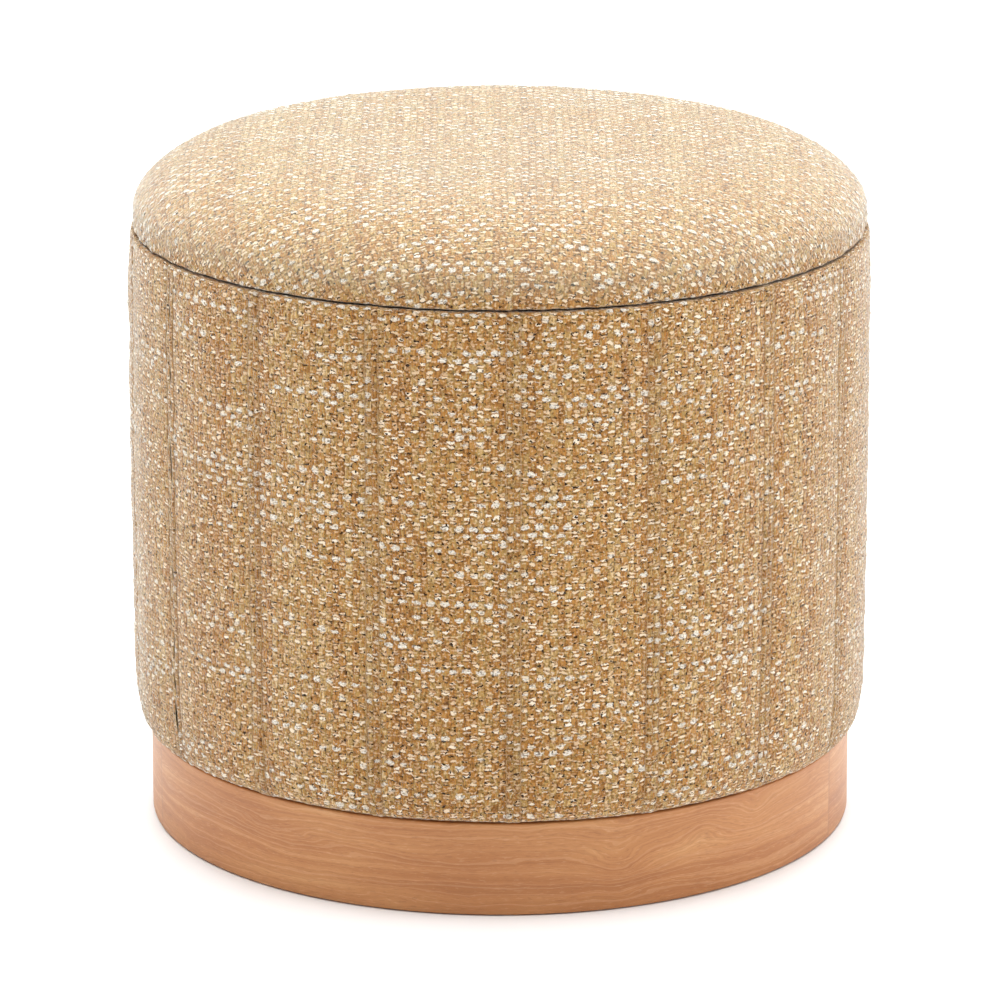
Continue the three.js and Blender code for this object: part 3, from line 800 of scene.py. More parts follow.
# ------------------------------------------------------------------ plinth
def wood_material():
    n = Nodes("veneer")
    uv = n.uv()
    a, z, _ = n.split(uv)  # mm round the ring, mm up
    ring = n.attribute("grain")
    w = n.noise(n.xyz(n.mul(a, 0.012), n.mul(z, 0.05), 1.0), 1.0, 3.0, 0.55)
    field = n.add(ring, n.mul(n.sub(w, 0.5), 16.0))
    zone = n.noise(n.xyz(n.mul(a, 0.0075), n.mul(z, 0.022), 5.0), 1.0, 3.0, 0.55)
    band = n.noise(n.xyz(n.mul(a, 0.0012), n.mul(field, 0.16), 3.0), 1.0, 3.0, 0.55)
    line = n.noise(n.xyz(n.mul(a, 0.002), n.mul(field, 0.52), 7.0), 1.0, 2.0, 0.5)
    fine = n.noise(n.xyz(n.mul(a, 0.10), n.mul(n.add(field, n.mul(z, 0.8)), 1.5), 6.0), 1.0, 3.0, 0.6)
    pore = n.noise(n.xyz(n.mul(a, 0.15), n.mul(n.add(n.mul(field, 0.6), n.mul(z, 0.4)), 1.35), 8.0), 1.0, 2.0, 0.6)
    mixed = n.add(n.mul(band, 0.40), n.mul(zone, 0.60))
    color = n.ramp(mixed, [
        (0.34, srgb(174, 111, 63)),
        (0.46, srgb(186, 123, 72)),
        (0.56, srgb(196, 135, 82)),
        (0.68, srgb(212, 157, 103)),
    ])
    color = n.mix(n.mul(n.step(line, 0.44, 0.35), 0.26), color, srgb(160, 100, 62))
    color = n.mix(n.mul(n.step(line, 0.55, 0.62), 0.20), color, srgb(228, 182, 138))
    color = n.mix(n.mul(n.step(fine, 0.48, 0.30), 0.20), color, srgb(158, 100, 62))
    color = n.mix(n.mul(n.step(pore, 0.43, 0.33), 0.34), color, srgb(150, 94, 58))
    color = n.mix(n.mul(n.step(pore, 0.58, 0.68), 0.20), color, srgb(232, 190, 148))
    joint = n.attribute("joint")
    color = n.mix(n.mul(joint, 0.35), color, srgb(150, 98, 64))
    h = n.add(n.mul(fine, 0.5), n.mul(pore, 0.5))
    h = n.sub(h, n.mul(joint, 1.5))
    normal = n.bump(h, 0.035, 0.4)
    rough = n.lin(fine, 0.3, 0.7, 0.50, 0.40)
    return n.finish(color, rough, normal, spec=0.4, coat=0.10, coat_rough=0.35)


VENEER = wood_material()
JOINTS = [68.0, 177.0, 286.5, 428.0]
KNOTS = [(18.7, 30.0, 15.0, 17.0, 9.0), (34.0, 40.0, 13.0, 9.0, -8.0), (44.5, 46.0, 14.0, 12.0, 8.0), (-38.0, 34.0, 30.0, 12.0, 6.0),
         (120.0, 22.0, 30.0, 12.0, 8.0), (200.0, 36.0, 40.0, 13.0, 9.0), (250.0, 20.0, 26.0, 10.0, -7.0)]


def plinth_piece():
    prof = [(200.2, 4.2), (200.2, 1.1), (200.8, 0.5), (213.0, 0.5), (213.9, 0.9), (214.2, 1.8)]
    prof += [(214.2, float(v)) for v in np.linspace(5.0, 54.6, 26)]
    prof += [(214.2, 55.8), (213.9, 56.5), (213.2, 56.8), (206.0, 56.8), (197.0, 56.8), (196.2, 56.2)]
    prof += [(196.2, 40.0), (196.2, 20.0), (196.2, 4.8), (196.5, 4.2)]
    P = np.array(prof)
    n = 720
    ang = np.arange(n) * 0.5 - 73.5  # starts at a veneer joint
    T, R = np.meshgrid(ang, P[:, 0])
    Z = np.broadcast_to(P[:, 1][:, None], T.shape)
    verts = np.stack([R * np.sin(np.radians(T)), -R * np.cos(np.radians(T)), Z], -1).reshape(-1, 3)
    faces = grid_faces(len(P), n, wrap=True)
    last = (len(P) - 1) * n
    j = np.arange(n)
    close = np.stack([last + j, last + (j + 1) % n, (j + 1) % n, j], -1)
    faces = np.concatenate([faces, close])
    arc = np.cumsum(np.concatenate([[0], np.hypot(*np.diff(P, axis=0).T)]))
    tt = T.reshape(-1)
    corner_t = tt[faces]
    corner_t[:, 1:3] = corner_t[:, [0, 3]] + 0.5
    a_mm = np.radians(corner_t) * 214.2
    piece = np.digitize(corner_t.mean(1), [68.0, 177.0])
    v_mm = np.where(np.abs(R.reshape(-1)[faces] - 214.2) < 1.5, Z.reshape(-1)[faces], Z.reshape(-1)[faces] + (214.2 - R.reshape(-1)[faces]))
    uv = np.stack([a_mm + piece[:, None] * 700.0, v_mm + piece[:, None] * 90.0], -1)
    grain = Z.reshape(-1).copy()
    for k_t, k_z, s_a, s_z, amp in KNOTS:
        da = (np.radians(tt - k_t)) * 214.2
        da = np.minimum(np.abs(da), 2 * math.pi * 214.2 - np.abs(da))
        grain += amp * np.exp(-(da / s_a) ** 2 - ((Z.reshape(-1) - k_z) / s_z) ** 2)
    joint = np.zeros_like(tt)
    for a in (68.0, 177.0, -73.5, 286.5):
        joint = np.maximum(joint, (np.abs(tt - a) < 0.26).astype(float))
    ob = make_object("plinth_veneered_ring", verts, [faces], VENEER, [uv], {"grain": grain, "joint": joint})
    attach(ob, "base")
    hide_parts("plinth_ring")
    return ob


plinth = plinth_piece()


# ------------------------------------------------------------------ more finishes
def lining_material(name="lining_cloth", base=(172, 157, 138), dark=(136, 121, 104), light=(200, 188, 170)):
    n = Nodes(name)
    x, y, _ = n.split(n.uv())
    d = n.noise(n.uv(), 0.05, 2.0)
    wx = n.m("SINE", n.mul(n.add(x, n.mul(d, 3.0)), 5.2))
    wy = n.m("SINE", n.mul(n.add(y, n.mul(d, 3.0)), 5.2))
    grid = n.mul(n.add(wx, 1.0), n.add(wy, 1.0))
    mottle = n.noise(n.uv(), 0.03, 4.0, 0.6)
    fibre = n.noise(n.xyz(n.mul(x, 0.25), n.mul(y, 1.8), 2.0), 1.0, 3.0, 0.6)
    color = n.mix(n.lin(mottle, 0.35, 0.65, 0.35, 1.0), srgb(*dark), srgb(*base))
    color = n.mix(n.lin(fibre, 0.5, 0.8, 0.0, 0.55), color, srgb(*light))
    # painted shade: the troughs of the weave darkened
    color = n.mix(n.lin(grid, 0.0, 1.2, 0.30, 0.0), color, srgb(*dark))
    h = n.add(n.mul(grid, 0.2), n.mul(fibre, 0.5))
    return n.finish(color, n.lin(fibre, 0.3, 0.7, 0.95, 0.85), n.bump(h, 0.15, 0.6), sheen=0.25, sheen_rough=0.5, spec=0.2)


def foam_material():
    n = Nodes("open_cell_foam")
    p = n.position()
    cells = n.voronoi(p, 650.0)
    fine = n.noise(p, 380.0, 3.0, 0.6)
    tone = n.noise(p, 12.0, 3.0)
    color = n.mix(n.lin(tone, 0.35, 0.65, 0.0, 1.0), srgb(226, 214, 166), srgb(240, 232, 196))
    # painted shade: the hollows of the foam cells darkened
    color = n.mix(n.step(cells, 0.35, 0.75), srgb(196, 178, 122), color)
    color = n.mix(n.lin(fine, 0.5, 0.75, 0.0, 0.35), color, srgb(186, 166, 110))
    return n.finish(color, n.lin(fine, 0.3, 0.7, 0.95, 0.85), n.bump(n.add(cells, n.mul(fine, 0.4)), 0.6, 0.8), sheen=0.1, spec=0.2)


def plywood_material():
    """Rotary-cut faces, layered edges. Works from object coordinates in metres, no UV needed."""
    n = Nodes("plywood")
    p = n.position()
    x, y, z = n.split(p)
    bend = n.noise(p, 5.0, 3.0)
    rings = n.noise(n.xyz(n.mul(x, 4.0), n.add(n.mul(y, 26.0), n.mul(bend, 5.0)), 1.0), 1.0, 3.0, 0.6)
    pore = n.noise(n.xyz(n.mul(x, 60.0), n.mul(y, 900.0), n.mul(z, 900.0)), 1.0, 2.0, 0.6)
    face = n.ramp(rings, [(0.30, srgb(196, 160, 112)), (0.48, srgb(214, 182, 136)), (0.60, srgb(204, 168, 120)), (0.72, srgb(228, 200, 158))])
    face = n.mix(n.lin(pore, 0.5, 0.8, 0.0, 0.40), face, srgb(164, 124, 78))
    layer = n.m("FRACT", n.mul(z, 1000.0 / 4.0))
    glue = n.step(n.m("ABSOLUTE", n.sub(layer, 0.5)), 0.42, 0.5)
    cross = n.m("FLOORED_MODULO", n.m("FLOOR", n.mul(z, 1000.0 / 2.0)), 2.0)
    edge = n.mix(cross, face, srgb(186, 148, 102))
    geo = n.nt.nodes.new("ShaderNodeNewGeometry").outputs["Normal"]
    _, _, nz = n.split(geo)
    side = n.step(n.m("ABSOLUTE", nz), 0.7, 0.4)
    edge = n.mix(n.mul(glue, 0.35), edge, srgb(122, 86, 54))
    color = n.mix(side, face, edge)
    return n.finish(color, n.lin(pore, 0.3, 0.7, 0.72, 0.58), n.bump(n.add(pore, n.mul(glue, -0.12)), 0.12, 0.5), spec=0.35)


def pine_material():
    n = Nodes("pine")
    p = n.position()
    x, y, z = n.split(p)
    bend = n.noise(p, 9.0, 2.0)
    ring = n.m("FRACT", n.add(n.mul(x, 260.0), n.add(n.mul(y, 190.0), n.mul(bend, 2.4))))
    late = n.step(ring, 0.45, 0.95)
    pore = n.noise(n.xyz(n.mul(x, 900.0), n.mul(y, 900.0), n.mul(z, 60.0)), 1.0, 2.0, 0.6)
    color = n.mix(late, srgb(224, 194, 142), srgb(190, 144, 88))
    color = n.mix(n.lin(pore, 0.5, 0.8, 0.0, 0.3), color, srgb(168, 126, 74))
    return n.finish(color, n.lin(pore, 0.3, 0.7, 0.75, 0.6), n.bump(pore, 0.1, 0.5), spec=0.35)


def steel_material(name="zinc_steel", base=(176, 178, 182), dark=(132, 134, 138)):
    n = Nodes(name)
    p = n.position()
    spangle = n.noise(p, 300.0, 3.0, 0.6)
    scratch = n.noise(n.xyz(*[n.mul(c, k) for c, k in zip(n.split(p), (2600.0, 2600.0, 400.0))]), 1.0, 2.0)
    color = n.mix(n.lin(spangle, 0.35, 0.65, 0.0, 1.0), srgb(*dark), srgb(*base))
    return n.finish(color, n.lin(scratch, 0.3, 0.7, 0.24, 0.46), n.bump(scratch, 0.02, 0.4), metallic=1.0, spec=0.5)


def nonwoven_material():
    n = Nodes("nonwoven_cloth")
    x, y, _ = n.split(n.uv())
    fx = n.sub(n.m("FRACT", n.mul(x, 0.5)), 0.5)
    fy = n.sub(n.m("FRACT", n.mul(y, 0.5)), 0.5)
    dot = n.step(n.add(n.mul(fx, fx), n.mul(fy, fy)), 0.09, 0.03)
    fibre = n.noise(n.uv(), 0.9, 4.0, 0.7)
    mottle = n.noise(n.uv(), 0.04, 3.0, 0.6)
    color = n.mix(n.lin(fibre, 0.4, 0.7, 0.0, 1.0), srgb(26, 26, 28), srgb(58, 57, 58))
    color = n.mix(n.lin(mottle, 0.35, 0.65, 0.0, 0.5), color, srgb(34, 34, 36))
    color = n.mix(n.mul(dot, 0.6), color, srgb(16, 16, 18))
    h = n.sub(n.mul(fibre, 0.5), n.mul(dot, 0.7))
    return n.finish(color, n.lin(fibre, 0.3, 0.7, 0.95, 0.8), n.bump(h, 0.18, 0.7), sheen=0.3, sheen_rough=0.5, spec=0.2)


def felt_material():
    n = Nodes("felt")
    p = n.position()
    fibre = n.noise(p, 900.0, 4.0, 0.7)
    tone = n.noise(p, 120.0, 3.0)
    color = n.mix(n.lin(fibre, 0.35, 0.7, 0.0, 1.0), srgb(82, 74, 67), srgb(142, 131, 120))
    color = n.mix(n.lin(tone, 0.4, 0.7, 0.0, 0.4), color, srgb(104, 94, 86))
    return n.finish(color, n.lin(fibre, 0.3, 0.7, 1.0, 0.85), n.bump(fibre, 0.3, 0.8), sheen=0.6, sheen_rough=0.5, spec=0.15)


def thread_material():
    n = Nodes("sewing_thread")
    x, y, _ = n.split(n.uv())
    twist = n.m("SINE", n.mul(n.add(x, n.mul(y, 0.6)), 9.0))
    fuzz = n.noise(n.uv(), 2.2, 3.0, 0.6)
    # painted light and shade along the twist: dark in its grooves, light on its ridges
    color = n.mix(n.lin(twist, -1, 1, 0.0, 1.0), srgb(148, 108, 62), srgb(200, 160, 106))
    color = n.mix(n.lin(fuzz, 0.5, 0.8, 0.0, 0.6), color, srgb(216, 186, 140))
    return n.finish(color, n.lin(fuzz, 0.3, 0.7, 0.8, 0.6), n.bump(n.add(twist, fuzz), 0.08, 0.6), sheen=0.3, spec=0.3)


LINING = lining_material()
FOAM = foam_material()
PLY = plywood_material()
PINE = pine_material()
STEEL = steel_material()
DUST = nonwoven_material()
FELT = felt_material()
THREAD = thread_material()


def declare(ob, body, nodes=()):
    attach(ob, body)
    if nodes:
        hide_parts(*nodes)
    return ob


# ------------------------------------------------------------------ linings and covers
def sheet_tube(name, r_out, z0, z1, thick, n_cols, material, bulge, seam_deg):
    """A fabric tube with an overlapped, double-stitched seam. bulge(T, Z) moves the inner face inwards, in mm."""
    zs = np.concatenate([[z0, z0 + 0.25], np.linspace(z0 + 3, z1 - 3, 60), [z1 - 0.25, z1]])
    cols = np.arange(n_cols) * 360.0 / n_cols
    Z, T = np.meshgrid(zs, cols, indexing="ij")
    away = np.abs((T - seam_deg + 180) % 360 - 180) * math.radians(1) * r_out
    lap = 0.75 * np.clip((9.0 - away) / 1.2, 0, 1)
    rows = 0.35 * np.exp(-((np.abs(away) - 2.5) / 0.8) ** 2) + 0.35 * np.exp(-((np.abs(away) - 7.0) / 0.8) ** 2)
    ends = np.clip((Z - z0) / 3.0, 0, 1) * np.clip((z1 - Z) / 3.0, 0, 1)
    inner = r_out - thick + (0.2 - bulge(T, Z) - lap + rows) * ends
    inner = np.minimum(inner, r_out - 0.5)
    outer = np.full_like(inner, r_out)
    outer -= 0.5 * (1 - ends)
    n = len(zs)
    R = np.concatenate([outer, inner[::-1]])
    Zz = np.concatenate([Z, Z[::-1]])
    Tt = np.concatenate([T, T])
    verts = np.stack([R * np.sin(np.radians(Tt)), -R * np.cos(np.radians(Tt)), Zz], -1).reshape(-1, 3)
    faces = grid_faces(2 * n, n_cols, wrap=True)
    last = (2 * n - 1) * n_cols
    j = np.arange(n_cols)
    faces = np.concatenate([faces, np.stack([last + j, last + (j + 1) % n_cols, (j + 1) % n_cols, j], -1)])
    t_corner = Tt.reshape(-1)[faces]
    t_corner[:, 1:3] = t_corner[:, [0, 3]] + 360.0 / n_cols
    uv = np.stack([np.radians(t_corner) * r_out, Zz.reshape(-1)[faces]], -1)
    return make_object(name, verts, [faces], material, [uv])


def lining_wave(T, Z):
    a = 0.9 * lattice_noise(T / 14.0, Z / 160.0, 500, 2) + 0.5 * lattice_noise(T / 5.0, Z / 70.0, 501, 2)
    fold = 0.7 * np.clip(np.sin(np.radians(T) * 11 + 3 * lattice_noise(T / 40.0, Z / 200.0, 502, 2)), 0, 1) ** 3 * np.clip(1 - (Z - 72) / 120.0, 0, 1)
    return np.clip(0.9 + a + fold, 0, 2.6)


side_lining = declare(sheet_tube("side_lining_cloth", 203.1, 72.1, 348.4, 1.0, 360, LINING, lining_wave, 196.0), "base", ["side_lining"])


def disc_sheet(name, radius, z_low, z_high, material, top, bottom, n_cols=240, rings=None, uv_angle=0.0, holes=None):
    """A cut disc of cloth with soft undulation. top(X, Y, R) and bottom(X, Y, R) move each face along Z, in mm."""
    rs = np.concatenate([np.linspace(0, radius - 8, 46)[1:], radius - 8 + 8 * np.sin(np.linspace(0.2, np.pi / 2, 7))])
    T = np.arange(n_cols) * 2 * math.pi / n_cols
    Rr, Tt = np.meshgrid(rs, T, indexing="ij")
    X, Y = Rr * np.cos(Tt), Rr * np.sin(Tt)
    edge = np.clip((radius - Rr) / 1.0, 0, 1)
    mid = 0.5 * (z_low + z_high)
    zt = z_high + top(X, Y, Rr)
    zb = z_low + bottom(X, Y, Rr)
    zt = mid + (zt - mid) * (0.45 + 0.55 * edge)
    zb = mid + (zb - mid) * (0.45 + 0.55 * edge)
    top_v = np.stack([X, Y, zt], -1).reshape(-1, 3)
    bot_v = np.stack([X, Y, zb], -1).reshape(-1, 3)
    c = np.zeros((1, 1))
    zc_t = float((z_high + top(c, c, c))[0, 0])
    zc_b = float((z_low + bottom(c, c, c))[0, 0])
    n = len(rs)
    verts = np.concatenate([top_v, bot_v, [[0, 0, zc_t], [0, 0, zc_b]]])
    g = grid_faces(n, n_cols, wrap=True)[:, ::-1]
    gb = g[:, ::-1] + n * n_cols
    rim_a = (n - 1) * n_cols + np.arange(n_cols)
    rim_b = rim_a + n * n_cols
    j = np.arange(n_cols)
    k = (j + 1) % n_cols
    rim = np.stack([rim_b[j], rim_b[k], rim_a[k], rim_a[j]], -1)
    quads = np.concatenate([g, gb, rim])
    ct, cb = 2 * n * n_cols, 2 * n * n_cols + 1
    tri_t = np.stack([np.full(n_cols, ct), j, k], -1)
    tri_b = np.stack([np.full(n_cols, cb), k + n * n_cols, j + n * n_cols], -1)
    tris = np.concatenate([tri_t, tri_b])
    ca, sa = math.cos(uv_angle), math.sin(uv_angle)
    px = verts[:, 0] * ca - verts[:, 1] * sa
    py = verts[:, 0] * sa + verts[:, 1] * ca
    uvq = np.stack([px[quads], py[quads]], -1)
    uvt = np.stack([px[tris], py[tris]], -1)
    return make_object(name, verts, [quads, tris], material, [uvq, uvt])


def floor_top(X, Y, R):
    d = 0.35 * lattice_noise(X / 60.0 + 4, Y / 60.0 + 4, 510, 3)
    d = d + 0.7 * np.clip((R - 185) / 16.0, 0, 1) ** 2
    return np.clip(0.35 + d, 0.0, 1.6)


flat_face = lambda X, Y, R: np.zeros_like(np.asarray(X, float))
floor_lining = declare(disc_sheet("floor_lining_cloth", 200.2, 71.95, 73.05, LINING, floor_top, flat_face), "base", ["floor_lining"])


def hem_fold(X, Y, R):
    """Turned-in hem of the lid lining, 12 mm wide, shown only by its one line of stitching; the doubled edge itself is
    weighted zero.
    """
    hem = np.clip((R - 178.5) / 0.8, 0, 1)
    line = np.exp(-((R - 181.0) / 0.6) ** 2)
    pull = 0.16 * lattice_noise(X / 50.0 + 2, Y / 50.0 + 6, 520, 3)
    return -(0.18 + pull * np.clip(1 - R / 190.0, 0, 1) + 0.0 * hem) + 0.12 * line


lid_lining = declare(disc_sheet("lid_lining_cloth", 190.8, 364.8, 365.55, LINING, flat_face, hem_fold, uv_angle=0.6), "lid", ["lid_lining"])


def dust_sag(X, Y, R):
    folds = 0.25 * lattice_noise(X / 45.0 + 8, Y / 45.0 + 8, 530, 3)
    rays = 0.16 * np.sin(np.arctan2(Y, X) * 30) * np.clip((R - 120) / 75.0, 0, 1) ** 2
    return -0.35 * np.clip(1 - (R / 190.0) ** 2, 0, 1) + folds + rays


dust_cover = declare(disc_sheet("dust_cover_cloth", 199.3, 3.15, 3.85, DUST, lambda X, Y, R: 0.5 * dust_sag(X, Y, R), dust_sag, uv_angle=0.3), "base", ["dust_cover"])


# ------------------------------------------------------------------ padding under the covers
def pad_from_profile(name, profile, n_cols, shape, material, body, node):
    """A closed padded ring or cushion from a closed [r, z] profile."""
    P = np.array(profile, float)
    on_axis = P[0, 0] == 0
    T = np.arange(n_cols) * 360.0 / n_cols
    R, Tt = np.meshgrid(P[:, 0], T, indexing="ij")
    Z = np.broadcast_to(P[:, 1][:, None], R.shape).copy()
    R, Z = shape(R.copy(), Z, Tt)
    verts = np.stack([R * np.sin(np.radians(Tt)), -R * np.cos(np.radians(Tt)), Z], -1)
    n = len(P)
    j = np.arange(n_cols)
    k = (j + 1) % n_cols
    if on_axis:
        ring = verts[1:-1].reshape(-1, 3)
        m = n - 2
        all_v = np.concatenate([ring, [verts[0].mean(0)], [verts[-1].mean(0)]])
        quads = grid_faces(m, n_cols, wrap=True)
        tris = np.concatenate([
            np.stack([np.full(n_cols, m * n_cols), k, j], -1),
            np.stack([np.full(n_cols, m * n_cols + 1), (m - 1) * n_cols + j, (m - 1) * n_cols + k], -1),
        ])
        ob = make_object(name, all_v, [quads, tris], material)
    else:
        all_v = verts.reshape(-1, 3)
        quads = grid_faces(n, n_cols, wrap=True)
        last = (n - 1) * n_cols
        quads = np.concatenate([quads, np.stack([last + j, last + k, k, j], -1)])
        ob = make_object(name, all_v, [quads], material)
    declare(ob, body, [node])
    return ob


seam_deg = np.array(SEAMS)


def foam_channels(R, Z, T):
    t = (T + 60.3) % 360 - 60.3
    nearest = np.min(np.abs(t[..., None] - seam_deg[None, None, :]), -1) * math.radians(1) * 222
    outer = R > 214.0
    dip = 1.3 * np.exp(-(nearest / 9.0) ** 2) * np.clip((Z - 66) / 20.0, 0, 1) * np.clip((354 - Z) / 20.0, 0, 1)
    return np.where(outer, R - 0.9 - dip, R), Z


wall_foam_profile = [(209.9, 63.8), (216.0, 63.8), (218.2, 68.0), (220.0, 78.0), (221.6, 92.0)]
wall_foam_profile += [(222.3, float(v)) for v in np.linspace(110, 310, 26)]
wall_foam_profile += [(221.4, 324.0), (220.4, 340.0), (218.4, 352.0), (215.2, 358.4), (212.6, 360.3), (209.9, 360.3)]
wall_foam_profile += [(209.9, float(v)) for v in np.linspace(340, 80, 14)]
wall_foam = pad_from_profile("side_foam_pad", wall_foam_profile, 384, foam_channels, FOAM, "base", "side_foam")


def lid_dome(R, Z, T):
    soft = 0.5 * lattice_noise(np.cos(np.radians(T)) * R / 60 + 9, np.sin(np.radians(T)) * R / 60 + 9, 540, 2)
    return R, np.where((Z > 380) & (R < 205), Z + soft - 0.6, Z)


lid_foam_profile = [(0.0, 378.4), (80.0, 378.4), (160.0, 378.4), (212.4, 378.4), (212.5, 371.5), (213.0, 367.2), (214.8, 367.0), (216.8, 371.0), (217.6, 379.6)]
lid_foam_profile += [(r - 2.2, z - 2.9) for r, z in [
    (217.6, 386.2), (215.4, 389.2), (212.6, 392.2), (209.2, 395.3), (205.1, 398.4), (200.3, 401.4), (194.7, 404.3),
    (188.1, 407.0), (180.5, 409.5), (171.4, 411.7), (160.3, 413.6), (146.3, 415.1), (127.2, 416.2), (93.8, 416.9), (40.0, 417.15)]]
lid_foam_profile += [(0.0, 414.3)]
lid_foam = pad_from_profile("lid_foam_pad", lid_foam_profile, 240, lid_dome, FOAM, "lid", "lid_foam")


# ------------------------------------------------------------------ locating ring, screws, glides, staples
def revolve_closed(name, profile, n_cols, material, centre=(0.0, 0.0), smooth=True):
    P = np.array(profile, float)
    T = np.arange(n_cols) * 2 * math.pi / n_cols
    on_axis = P[0, 0] == 0 and P[-1, 0] == 0
    j = np.arange(n_cols)
    k = (j + 1) % n_cols
    body = P[1:-1] if on_axis else P
    R, Tt = np.meshgrid(body[:, 0], T, indexing="ij")
    Z = np.broadcast_to(body[:, 1][:, None], R.shape)
    verts = np.stack([R * np.cos(Tt) + centre[0], R * np.sin(Tt) + centre[1], Z], -1).reshape(-1, 3)
    m = len(body)
    quads = grid_faces(m, n_cols, wrap=True)
    if on_axis:
        verts = np.concatenate([verts, [[centre[0], centre[1], P[0, 1]], [centre[0], centre[1], P[-1, 1]]]])
        tris = np.concatenate([
            np.stack([np.full(n_cols, m * n_cols), k, j], -1),
            np.stack([np.full(n_cols, m * n_cols + 1), (m - 1) * n_cols + j, (m - 1) * n_cols + k], -1),
        ])
        return make_object(name, verts, [quads, tris], material, smooth=smooth)
    last = (m - 1) * n_cols
    quads = np.concatenate([quads, np.stack([last + j, last + k, k, j], -1)])
    return make_object(name, verts, [quads], material, smooth=smooth)


def box_mesh(name, size, centre, spin=0.0):
    sx, sy, sz = (0.5 * v for v in size)
    v = np.array([[x, y, z] for x in (-sx, sx) for y in (-sy, sy) for z in (-sz, sz)], float)
    c, s_ = math.cos(spin), math.sin(spin)
    v[:, :2] = v[:, :2] @ np.array([[c, s_], [-s_, c]])
    v += np.array(centre)
    f = np.array([[0, 1, 3, 2], [4, 6, 7, 5], [0, 4, 5, 1], [2, 3, 7, 6], [0, 2, 6, 4], [1, 5, 7, 3]])
    return make_object(name, v, [f], PLY, smooth=False)


def cut(ob, tools):
    """Subtracts the tools from ob and removes them."""
    bpy.context.view_layer.objects.active = ob
    for t in tools:
        mod = ob.modifiers.new("cut", "BOOLEAN")
        mod.operation = "DIFFERENCE"
        mod.solver = "EXACT"
        mod.object = t
        bpy.ops.object.modifier_apply(modifier=mod.name)
        me = t.data
        bpy.data.objects.remove(t)
        bpy.data.meshes.remove(me)
    return ob


ring_profile = [(171.0, 342.8), (171.8, 342.0), (181.2, 342.0), (182.2, 342.5), (182.9, 343.6), (183.0, 345.0), (183.0, 352.0),
                (183.0, 363.5), (182.4, 364.0), (171.6, 364.0), (171.0, 363.5), (171.0, 352.0)]
locator = revolve_closed("lid_locating_ring_ply", ring_profile, 288, PLY)
angles6 = [math.radians(30 + 60 * k) for k in range(6)]
cut(locator, [revolve_closed("tool", [(0.0, 330.0), (3.9, 330.0), (3.9, 346.0), (0.0, 346.0)], 24, PLY, (177 * math.cos(a), 177 * math.sin(a))) for a in angles6]
    + [revolve_closed("tool", [(0.0, 345.0), (2.1, 345.0), (2.1, 370.0), (0.0, 370.0)], 16, PLY, (177 * math.cos(a), 177 * math.sin(a))) for a in angles6])
locator.data.shade_flat() if hasattr(locator.data, "shade_flat") else None
declare(locator, "lid", ["lid_locating_ring"])

for k, a in enumerate(angles6):
    cx, cy = 177 * math.cos(a), 177 * math.sin(a)
    prof = [(0.0, 343.0), (2.2, 343.05), (2.9, 343.3), (3.35, 343.9), (3.5, 344.6), (3.4, 345.5), (3.2, 345.7), (1.7, 345.7)]
    z = 346.0
    while z < 370.6:
        prof += [(1.35, z), (1.70, z + 0.35), (1.35, z + 0.7)]
        z += 1.1
    prof += [(0.5, 371.9), (0.0, 372.0)]
    screw = revolve_closed("lid_screw_%d_panhead" % (k + 1), prof, 28, STEEL, (cx, cy))
    spin = 0.7 * k + 0.3
    cut(screw, [box_mesh("tool", (3.6, 0.85, 3.0), (cx, cy, 342.8), spin), box_mesh("tool", (0.85, 3.6, 3.0), (cx, cy, 342.8), spin)])
    declare(screw, "lid", ["lid_screw_%d" % (k + 1)])

for k, a in enumerate(angles6):
    cx, cy = 207.1 * math.cos(a), 207.1 * math.sin(a)
    prof = [(0.0, 0.75), (0.9, 0.7), (1.05, 0.25), (1.4, 0.06), (3.0, 0.0), (4.6, 0.02), (5.3, 0.12), (5.7, 0.45), (5.8, 0.9), (5.75, 1.3), (5.5, 1.5), (3.0, 1.5), (0.0, 1.5)]
    glide = revolve_closed("felt_glide_%d_pad" % (k + 1), prof, 36, FELT, (cx, cy))
    co = np.empty(len(glide.data.vertices) * 3, np.float32)
    glide.data.vertices.foreach_get("co", co)
    co = co.reshape(-1, 3)
    fuzz = lattice_noise(co[:, 0] * 900 + k, co[:, 1] * 900, 600 + k, 2) * 0.00006
    low = co[:, 2] > 0.0001
    co[:, 0] += np.where(low, fuzz * np.cos(np.arctan2(co[:, 1] - cy * MM, co[:, 0] - cx * MM)), 0)
    co[:, 1] += np.where(low, fuzz * np.sin(np.arctan2(co[:, 1] - cy * MM, co[:, 0] - cx * MM)), 0)
    glide.data.vertices.foreach_set("co", co.ravel())
    declare(glide, "base", ["felt_glide_%d" % (k + 1)])


